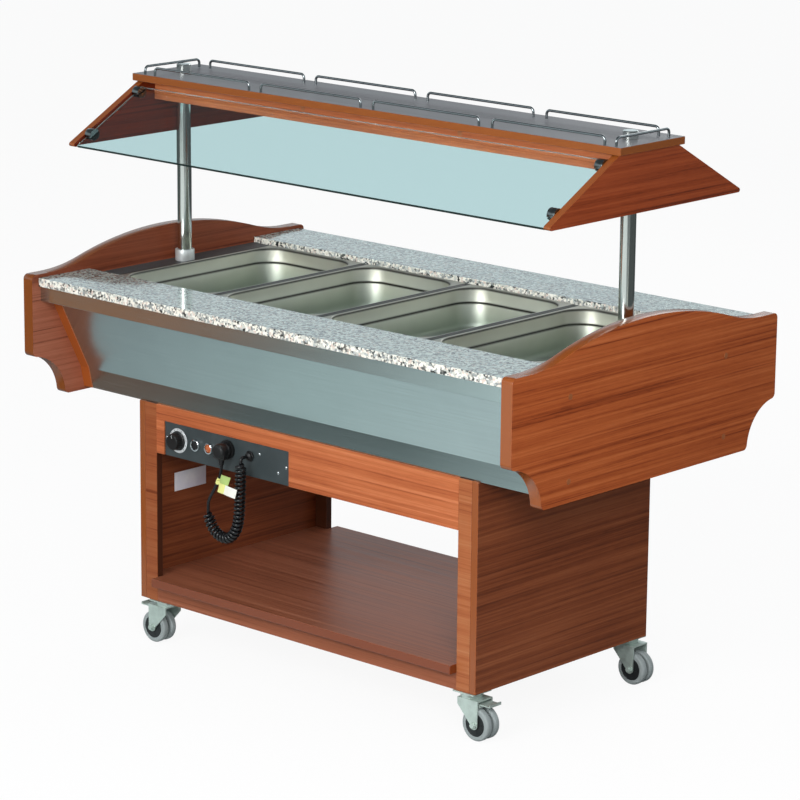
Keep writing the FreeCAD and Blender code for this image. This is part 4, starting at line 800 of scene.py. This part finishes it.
# gland: hexagon, grooved dome nut with a lip, and the thread behind the plate
gland = {
    "spot": (-0.163, -0.292, 0.514),
    "hexagon": [(0, 0.0002), (0.0118, 0.0002), (0.0126, 0.0008), (0.0126, 0.0046), (0.0118, 0.0052),
                (0, 0.0052)],
    "dome": [(0, 0.004), (0.0098, 0.004), (0.0098, 0.0072), (0.0092, 0.0088), (0.0078, 0.0100),
             (0.0064, 0.0106), (0.0058, 0.0108), (0.0056, 0.0116), (0.0050, 0.012), (0, 0.012)],
    "grooves": 20,
    "grooveDepth": 0.025,
    "grooveEnd": 0.008,
    "thread": [(0, 0), (0.006, 0), (0.006, 0.002), (0.0098, 0.002), (0.0098, 0.008), (0, 0.008)],
}


def glandGroove(angle, height):
    grooved = math.cos(gland["grooves"] * angle) > 0 and height < gland["grooveEnd"]
    return 1 - gland["grooveDepth"] * grooved


def makeGland():
    work = bmesh.new()
    out = turnTo(toFront, gland["spot"])
    latheInto(work, gland["hexagon"], out, sides["hexagon"])
    latheInto(work, gland["dome"], out, sides["dome"], glandGroove)
    latheInto(work, gland["thread"], turnTo(toBack, gland["spot"]), sides["middle"])
    piece = meshPiece("cableGland", work, "blackPlastic")
    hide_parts("cord_gland")


parkedPlug = makePlug()
tagPieces = makeTags()
makeGland()
print("plug, tag and gland made")


# drawn pans with a rolled rim, a stacking shoulder and round corners
pan = {
    "width": 0.325,
    "length": 0.530,
    "deck": 0.8495,
    "pitch": 0.326,
    "middle": 2.5,
    "depth": 0.0985,
    "wall": 0.001,
    "wallInset": 0.019,
    "wallCorner": 0.057,
    "base": 0.020,
    "bends": 6,
    "cornerSteps": 10,
    "sharp": 50,
    # inset, corner radius and height: over the lip and flange and down to the shoulder
    "inner": [(0.0004, 0.0158, 0.0), (0.0002, 0.016, 0.0005), (0.0008, 0.0165, 0.0018),
              (0.0018, 0.018, 0.0029), (0.0032, 0.020, 0.0036), (0.0036, 0.0205, 0.0036),
              (0.0112, 0.062, 0.0036), (0.0116, 0.062, 0.0036), (0.0132, 0.062, 0.0029),
              (0.0144, 0.061, 0.0008), (0.015, 0.061, -0.0025), (0.015, 0.061, -0.029),
              (0.0158, 0.061, -0.0308), (0.019, 0.056, -0.0326), (0.020, 0.056, -0.035)],
    "outer": [(0.013, 0.062, 0.0), (0.014, 0.062, -0.004), (0.014, 0.062, -0.031),
              (0.018, 0.057, -0.0335), (0.019, 0.057, -0.036)],
}


def roundedLoop(work, inset, radius, height, centre):
    halfX, halfY = pan["width"] / 2 - inset, pan["length"] / 2 - inset
    steps = pan["cornerSteps"]
    loop = []
    for quarter, (signX, signY) in enumerate(((1, 1), (-1, 1), (-1, -1), (1, -1))):
        for step in range(steps + 1):
            angle = math.pi / 2 * (quarter + step / steps)
            x = centre + signX * (halfX - radius) + radius * math.cos(angle)
            y = signY * (halfY - radius) + radius * math.sin(angle)
            loop.append(work.verts.new((x, y, pan["deck"] + height)))
    return loop


def panSkin(rows, lift):
    # rows from the rim, then the round of the base; the inner skin lies one wall above the outer
    base = pan["base"] - lift
    bends = []
    for bend in range(pan["bends"] + 1):
        angle = math.pi / 2 * bend / pan["bends"]
        inward = lift + base * (1 - math.cos(angle))
        height = lift - pan["depth"] + base * (1 - math.sin(angle))
        bends.append((pan["wallInset"] + inward, pan["wallCorner"] - inward, height))
    return rows + bends


def makePan(index):
    centre = (index - pan["middle"]) * pan["pitch"]
    work = bmesh.new()
    previous = None
    for row in panSkin(pan["outer"], 0)[::-1] + panSkin(pan["inner"], pan["wall"]):
        loop = roundedLoop(work, *row, centre)
        if previous is None:
            work.faces.new(loop)
        else:
            for spot in range(len(loop)):
                after = (spot + 1) % len(loop)
                work.faces.new((previous[spot], previous[after], loop[after], loop[spot]))
        previous = loop
    work.faces.new(previous)
    piece = meshPiece(f"drawnPan{index}", work, "drawnSteel", f"pan_{index}", pan["sharp"])
    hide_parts(f"pan_{index}")


for panIndex in (1, 2, 3, 4):
    makePan(panIndex)
print("pans drawn")


# knob with fine flutes and a white pointer line, over a dial ring with short marks
knob = {
    "spot": (-0.397, -0.2945, 0.507),
    "profile": [(0, 0), (0.022, 0), (0.022, 0.002), (0.02046, 0.003), (0.01892, 0.0175),
                (0.01804, 0.0192), (0.01628, 0.020), (0.0121, 0.0194), (0, 0.0194)],
    "stem": [(0, -0.0005), (0.0029, -0.0005), (0.0029, -0.027), (0, -0.027)],
    "flutes": 24,
    "fluteSteps": 6,
    "fluteDepth": 0.045,
    "fluteReach": (0.0025, 0.0195),
    "pointer": [(-0.0004, -0.0201, 0.009), (0.0004, -0.018, 0.0168)],
    "marks": 11,
    "firstMark": -135,
    "markStep": 27,
    "markFace": -0.2935,
    "mark": [(-0.0005, -0.0003, 0.0243), (0.0005, 0.0004, 0.0282)],
    "lineEdge": 0.0001,
}


def knobFlute(angle, height):
    low, high = knob["fluteReach"]
    wave = 0.5 + 0.5 * math.cos(knob["flutes"] * angle)
    return 1 - knob["fluteDepth"] * wave * (low < height < high)


def makeKnob():
    work = bmesh.new()
    spot = Vector(knob["spot"])
    out = turnTo(toFront, spot)
    latheInto(work, knob["profile"], out, knob["flutes"] * knob["fluteSteps"], knobFlute)
    latheInto(work, knob["stem"], out, sides["thin"])
    piece = meshPiece("thermostatKnob", work, "blackPlastic", "knob")
    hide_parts("thermostat_knob")
    line = bmesh.new()
    low, high = knob["pointer"]
    boxInto(line, spot + Vector(low), spot + Vector(high), knob["lineEdge"])
    meshPiece("knobPointer", line, "dialSilver", "knob")
    marks = bmesh.new()
    centre = Matrix.Translation((spot.x, knob["markFace"], spot.z))
    for index in range(knob["marks"]):
        angle = math.radians(knob["firstMark"] + knob["markStep"] * index)
        boxInto(marks, *knob["mark"], knob["lineEdge"], 1, centre @ Matrix.Rotation(angle, 4, "Y"))
    meshPiece("dialMarks", marks, "blackPlastic")


# bright collars round the push button and the pilot lamp
bezel = {
    "face": -0.292,
    "z": 0.507,
    "button": (-0.338, 0.0142, 0.0072),  # place, radius and height
    "lamp": (-0.295, 0.0132, 0.0066),
    # in from the radius, up from the plate, share of the height
    "profile": [(0.0042, 0.0032, 0), (0, 0.0001, 0), (0, 0, 0.6), (0.0006, 0, 0.9), (0.0016, 0, 1),
                (0.0026, 0, 0.96), (0.0042, 0, 0.6), (0.0042, 0.0032, 0)],
}


def makeBezels():
    for name in ("button", "lamp"):
        x, radius, height = bezel[name]
        work = bmesh.new()
        profile = [(radius - inward, rise + height * share) for inward, rise, share in bezel["profile"]]
        latheInto(work, profile, turnTo(toFront, (x, bezel["face"], bezel["z"])), sides["large"])
        meshPiece(name + "Bezel", work, "brightChrome")


# screws, cover caps and the blank rating plate
fasteners = {
    "plateScrews": [(-0.4345, -0.292, 0.509), (-0.134, -0.292, 0.523), (-0.0755, -0.292, 0.490),
                    (-0.0505, -0.292, 0.507)],
    "screwRadius": 0.0038,
    "dome": [(0, -0.0006), (1, -0.0006), (1, 0.0004), (0.9, 0.0010), (0.6, 0.0016), (0, 0.0018)],
    "cap": [(0, -0.0006), (0.0065, -0.0006), (0.0065, 0.0003), (0.0060, 0.0007), (0, 0.0008)],
    "panelFace": 0.745,
    "capPlaces": [(-0.265, 0.803), (0.265, 0.803), (-0.265, 0.621), (0.265, 0.621)],
    "railFace": 0.062,
    "railCaps": [(-0.224, 1.272), (0.251, 1.272)],
}


def domeHead(work, place, radius):
    latheInto(work, scaledProfile(fasteners["dome"], radius), place, sides["small"])


def makeFasteners():
    work = bmesh.new()
    for spot in fasteners["plateScrews"]:
        domeHead(work, turnTo(toFront, spot), fasteners["screwRadius"])
    meshPiece("plateScrews", work, "brightChrome")
    caps = bmesh.new()
    panelFace, railFace = fasteners["panelFace"], fasteners["railFace"]
    places = [turnTo((side, 0, 0), (side * panelFace, y, z))
              for y, z in fasteners["capPlaces"] for side in (-1, 1)]
    places += [turnTo((0, side, 0), (x, side * railFace, z))
               for x, z in fasteners["railCaps"] for side in (-1, 1)]
    for place in places:
        latheInto(caps, fasteners["cap"], place, sides["small"])
    meshPiece("coverCaps", caps, "capPlastic")


plate = {
    "x": -0.505,
    "low": (-0.202, 0.3475),
    "high": (-0.0995, 0.3925),
    "thickness": 0.0012,
    "sunk": 0.0002,
    "edge": 0.0004,
    "rim": 0.004,
    "line": 0.0008,
    "lineHalf": 0.0003,
    "lineEdge": 0.0001,
    "screwInset": 0.0022,
    "screwRadius": 0.0014,
}


def makeRatingPlate():
    work = bmesh.new()
    line, inset, half = plate["line"], plate["screwInset"], plate["lineHalf"]
    (y0, z0), (y1, z1) = plate["low"], plate["high"]
    face = plate["x"] + plate["thickness"]
    boxInto(work, (plate["x"] - plate["sunk"], y0, z0), (face, y1, z1), plate["edge"])
    left, right = y0 + plate["rim"], y1 - plate["rim"]
    bottom, top = z0 + plate["rim"], z1 - plate["rim"]
    for low, high in (((left, bottom), (right, bottom + line)), ((left, top - line), (right, top)),
                      ((left, bottom), (left + line, top)), ((right - line, bottom), (right, top))):
        boxInto(work, (face - half, *low), (face + half, *high), plate["lineEdge"], 1)
    for y in (y0 + inset, y1 - inset):
        for z in (z0 + inset, z1 - inset):
            domeHead(work, turnTo(sideways, (face, y, z)), plate["screwRadius"])
    meshPiece("ratingPlate", work, "plateSilver")


# casters: a rim with ribs on the outer faces of each hub, and nuts on the axle's ends
casterCorners = ("front_left", "front_right", "back_left", "back_right")
hub = {
    "left": -0.463,
    "right": 0.490,
    "y": 0.268,
    "z": 0.0375,
    "trail": 0.027,
    "radius": 0.0262,
    "outer": 0.0205,
    "profile": [(1, -0.0004), (1, 0.0002), (0.96, 0.0007), (0.90, 0.0007), (0.86, 0.0001), (0.86, -0.0004),
                (1, -0.0004)],
    "ribs": 5,
    "rib": [(0.0081, -0.0016, -0.0004), (0.02358, 0.0016, 0.0006)],
    "ribEdge": 0.0003,
}
axleNut = {
    "reach": 0.029,
    "radius": 0.0062,
    "profile": [(0, -0.0005), (1, -0.0005), (1, 0.0024), (0.9, 0.003), (0, 0.003)],
}


def wheelFace(corner, side, reach):
    # a spot on a wheel's axle, with Z outward
    row, end = corner.split("_")
    trail = hub["trail"] if end == "right" else -hub["trail"]
    centre = Vector((hub[end] + trail, hub["y"] if row == "back" else -hub["y"], hub["z"]))
    return turnTo((0, side, 0), centre + Vector((0, side * reach, 0)))


def makeAxleNuts():
    profile = scaledProfile(axleNut["profile"], axleNut["radius"])
    for corner in casterCorners:
        work = bmesh.new()
        for side in (-1, 1):
            latheInto(work, profile, wheelFace(corner, side, axleNut["reach"]), sides["hexagon"])
        meshPiece("axleNuts_" + corner, work, "brightZinc", "fork_" + corner)


def makeHubCovers():
    profile = scaledProfile(hub["profile"], hub["radius"])
    for corner in casterCorners:
        work = bmesh.new()
        for side in (-1, 1):
            out = wheelFace(corner, side, hub["outer"])
            latheInto(work, profile, out, sides["large"])
            for rib in range(hub["ribs"]):
                turn = out @ Matrix.Rotation(2 * math.pi * rib / hub["ribs"], 4, "Z")
                boxInto(work, *hub["rib"], hub["ribEdge"], 1, turn)
        meshPiece("hubCover_" + corner, work, "hubPlastic", "wheels_" + corner)


makeAxleNuts()
makeKnob()
makeBezels()
makeFasteners()
makeRatingPlate()
makeHubCovers()
print("small pieces made")


# carried-over solids: a finish, and a small round on their edges
softEdge = {"weld": 1e-5, "segments": 2, "sharp": 30}
finishes = {
    "end_panel_left": ("leftPanelWood", 0.0018), "end_panel_right": ("panelWood", 0.0018),
    "cheeks": ("cheekWood", 0.0008), "granite_slabs": ("polishedGranite", 0.002),
    "fascias": ("fasciaSteel", 0), "counter_frame": ("fasciaSteel", 0.0008),
    "basin_floor": ("floorWood", 0.0008), "well_tank": ("deckSteel", 0),
    "heating_element": ("heaterSteel", 0), "drain_valve": ("valveBrass", 0.0008),
    "drain_lever": ("leverPaint", 0.0008), "pan_bars": ("barSteel", 0.001),
    "base_sides": ("sideWood", 0.0012), "stiles": ("stileWood", 0.0012),
    "apron_front": ("frontWood", 0.0012), "apron_back": ("frontWood", 0.0012),
    "shelf": ("shelfWood", 0.0015), "base_rails": ("lowWood", 0.001),
    "control_plate": ("plateAnthracite", 0.0003), "control_box": ("brightZinc", 0),
    "thermostat": ("dialSilver", 0.0003), "switch_body": ("brightChrome", 0.0004),
    "push_button": ("glossyBlack", 0.0006), "pilot_lamp": ("brightChrome", 0.0004),
    "lamp_lens": ("amberLens", 0.0003), "plug_holder": ("blackPlastic", 0.001),
    "canopy_board": ("boardWood", 0.0012), "canopy_ends": ("canopyEndWood", 0.0015),
    "canopy_rails": ("railWood", 0.001), "glass_panes": ("clearGlass", 0.0004),
    "glass_clamps": ("clampChrome", 0.0012), "posts": ("satinPost", 0),
    "post_collars": ("satinCollar", 0.0015), "gallery_rails": ("railChrome", 0),
    "caster_plates": ("brightZinc", 0.0006), "brake_pedal_front_left": ("brightZinc", 0.0006),
    "brake_pedal_front_right": ("brightZinc", 0.0006),
}
for corner in casterCorners:
    finishes["caster_fork_" + corner] = ("brightZinc", 0.0007)
    finishes["caster_hub_" + corner] = ("hubPlastic", 0.0008)
    finishes["caster_tyres_" + corner] = ("greyTyre", 0)


def dress(name, look, edge):
    node = nodes[name]
    node.data.materials.clear()
    node.data.materials.append(looks[look])
    if edge:
        weld = node.modifiers.new("weld", "WELD")
        weld.merge_threshold = softEdge["weld"]
        bevel = node.modifiers.new("softEdge", "BEVEL")
        bevel.width = edge
        bevel.segments = softEdge["segments"]
        bevel.limit_method = "ANGLE"
        bevel.angle_limit = math.radians(softEdge["sharp"])


for name, finish in finishes.items():
    dress(name, *finish)
print("solids dressed,", len(finishes))


# pale floor, white surroundings, soft lamps and the boards that steel mirrors
white = (1, 1, 1, 1)
studio = {
    "floor": 30.0,
    "floorRough": 0.9,
    "floorSeen": (0.97, 0.97, 0.97, 1),
    "floorTones": [(0.0, (0.36, 0.38, 0.38, 1)), (1.0, (0.12, 0.13, 0.13, 1))],  # from the front to the back
    "floorTurn": (-0.5, 0.9),
    "throughGlass": (0.59, 0.80, 0.82, 1),
    "aboveGlass": (0.05, 0.055, 0.06, 1),  # what the inner face of a pane mirrors
    "glassTurn": (0.3, 0.5),
    "glow": 0.92,
    "ambient": 0.62,
    "skyLight": [(0.0, (0.9, 0.92, 0.94, 1)), (0.2, (0.97, 0.985, 1, 1)), (1.0, (0.56, 0.60, 0.64, 1))],
    "skyMirror": [(0.0, (0.55, 0.60, 0.62, 1)), (0.14, (0.74, 0.83, 0.87, 1)), (0.34, (0.70, 0.78, 0.82, 1)),
                  (0.52, (0.16, 0.18, 0.19, 1)), (1.0, (0.12, 0.13, 0.14, 1))],
    "boardHeight": 0.004,
}
lamps = {  # place, target, size, power, and whether reflections show it
    "keyLamp": ((0.6, -5.2, 2.7), (0, 0, 0.7), 2.4, 160, True),
    "fillLamp": ((2.5, -2.3, 1.9), (0.7, -0.4, 0.8), 1.0, 44, False),
    "backLamp": ((-1.0, 4.4, 3.6), (0, 0, 0.9), 3.0, 45, True),
}
boards = {  # on the floor, seen in reflections only: low and high corner, then tones from left to right
    "nearBoard": ((-1.7, -0.78), (0.5, -0.2), [
        (0.0, (0.30, 0.33, 0.34, 1)), (0.2, (0.36, 0.41, 0.42, 1)), (0.5, (0.53, 0.62, 0.62, 1)),
        (0.8, (0.65, 0.72, 0.73, 1))]),
    "middleBoard": ((-1.9, -1.3), (0.5, -0.8), [
        (0.0, (0.20, 0.09, 0.05, 1)), (0.25, (0.18, 0.10, 0.07, 1)), (0.38, (0.10, 0.11, 0.11, 1)),
        (0.62, (0.14, 0.16, 0.16, 1)), (0.85, (0.5, 0.56, 0.56, 1))]),
    "farBoard": ((-4.2, -3.4), (-0.8, -2.2), [
        (0.0, (0.52, 0.17, 0.05, 1)), (0.4, (0.52, 0.17, 0.05, 1)), (0.54, (0.09, 0.10, 0.10, 1)),
        (0.66, (0.16, 0.18, 0.18, 1)), (0.78, (0.76, 0.88, 0.88, 1))]),
    "frontBoard": ((-2.75, -7.0), (3.3, -3.45), [
        (0.0, (0.92, 0.97, 0.96, 1)), (1.0, (0.88, 0.93, 0.92, 1))]),
    "cornerBoard": ((1.2, -3.4), (3.1, -2.4), [
        (0.0, (0.88, 0.93, 0.92, 1)), (1.0, (0.80, 0.86, 0.85, 1))]),
    "stripBoard": ((3.3, -3.0), (4.8, -2.31), [
        (0.0, (0.86, 0.87, 0.78, 1)), (1.0, (0.80, 0.81, 0.74, 1))]),
    "leftBoard": ((-9.0, -7.0), (-4.25, 4.0), [
        (0.0, (0.07, 0.09, 0.09, 1)), (1.0, (0.09, 0.11, 0.11, 1))]),
    "sideBoard": ((-4.2, -7.0), (-2.8, -3.45), [
        (0.0, (0.07, 0.09, 0.09, 1)), (1.0, (0.12, 0.14, 0.14, 1))]),
    "rightBoard": ((3.35, -2.3), (9.0, 6.0), [
        (0.0, (0.10, 0.11, 0.11, 1)), (1.0, (0.07, 0.08, 0.08, 1))]),
}


def flatMesh(name, low, high, height):
    mesh = bpy.data.meshes.new(name)
    spots = [(low[0], low[1], height), (high[0], low[1], height), (high[0], high[1], height),
             (low[0], high[1], height)]
    mesh.from_pydata(spots, [], [(0, 1, 2, 3)])
    piece = bpy.data.objects.new(name, mesh)
    scene.collection.objects.link(piece)
    return piece


def setWorld():
    world = bpy.data.worlds.new("studio")
    world.use_nodes = True
    scene.world = world
    tree = world.node_tree
    rays = addNode(tree, "LightPath").outputs
    direction = addNode(tree, "TexCoord").outputs["Generated"]
    height = addNode(tree, "SeparateXYZ", {0: direction}).outputs["Z"]
    light = tree.nodes["Background"]
    skyLight = ramp(tree, height, studio["skyLight"])
    setInputs(tree, light, {"Color": skyLight, "Strength": studio["ambient"]})
    sky = addNode(tree, "Background", {"Color": ramp(tree, height, studio["skyMirror"]), "Strength": 1.0})
    beyond = ramp(tree, height, zip(studio["glassTurn"], (studio["throughGlass"], studio["aboveGlass"])))
    colour = blend(tree, rays["Is Transmission Ray"], white, beyond)
    backdrop = addNode(tree, "Background", {"Color": colour, "Strength": 1.0})
    mirrored = mixShaders(tree, rays["Is Glossy Ray"], light, sky)
    seen = sums(tree, "MAXIMUM", rays["Is Camera Ray"], rays["Is Transmission Ray"])
    setSurface(tree, mixShaders(tree, seen, mirrored, backdrop), "World Output")


def setFloor():
    half = studio["floor"] / 2
    floor = flatMesh("studioFloor", (-half, -half), (half, half), 0)
    tree, shader = newMaterial("paleFloor")
    rays = addNode(tree, "LightPath").outputs
    seen = sums(tree, "MAXIMUM", rays["Is Camera Ray"], rays["Is Transmission Ray"])
    share = between(tree, placeAlong(tree, "Y"), *studio["floorTurn"])
    setInputs(tree, shader, {
        "Base Color": blend(tree, seen, ramp(tree, share, studio["floorTones"]), studio["floorSeen"]),
        "Roughness": studio["floorRough"],
        "Specular IOR Level": 0,
    })
    colour = blend(tree, rays["Is Transmission Ray"], white, studio["throughGlass"])
    glow = addNode(tree, "Emission", {"Color": colour, "Strength": 1.0})
    setSurface(tree, mixShaders(tree, sums(tree, "MULTIPLY", seen, studio["glow"]), shader, glow))
    floor.data.materials.append(looks["paleFloor"])


def setBoards():
    for name, (low, high, tones) in boards.items():
        piece = flatMesh(name, low, high, studio["boardHeight"])
        for ray in ("camera", "diffuse", "transmission", "volume_scatter", "shadow"):
            setattr(piece, "visible_" + ray, False)  # only reflections see it
        tree, shader = newMaterial(name)
        reach = between(tree, placeAlong(tree, "X"), low[0], high[0])
        tree.nodes.remove(shader)
        setSurface(tree, addNode(tree, "Emission", {"Color": ramp(tree, reach, tones), "Strength": 1.0}))
        piece.data.materials.append(looks[name])


def setLamps():
    for name, (place, target, size, power, mirrored) in lamps.items():
        data = bpy.data.lights.new(name, "AREA")
        data.energy = power
        data.size = size
        light = bpy.data.objects.new(name, data)
        light.location = place
        light.visible_glossy = mirrored
        aim = Vector(target) - Vector(place)
        light.rotation_euler = aim.to_track_quat("-Z", "Y").to_euler()
        scene.collection.objects.link(light)


setWorld()
setFloor()
setBoards()
setLamps()
print("studio lit")
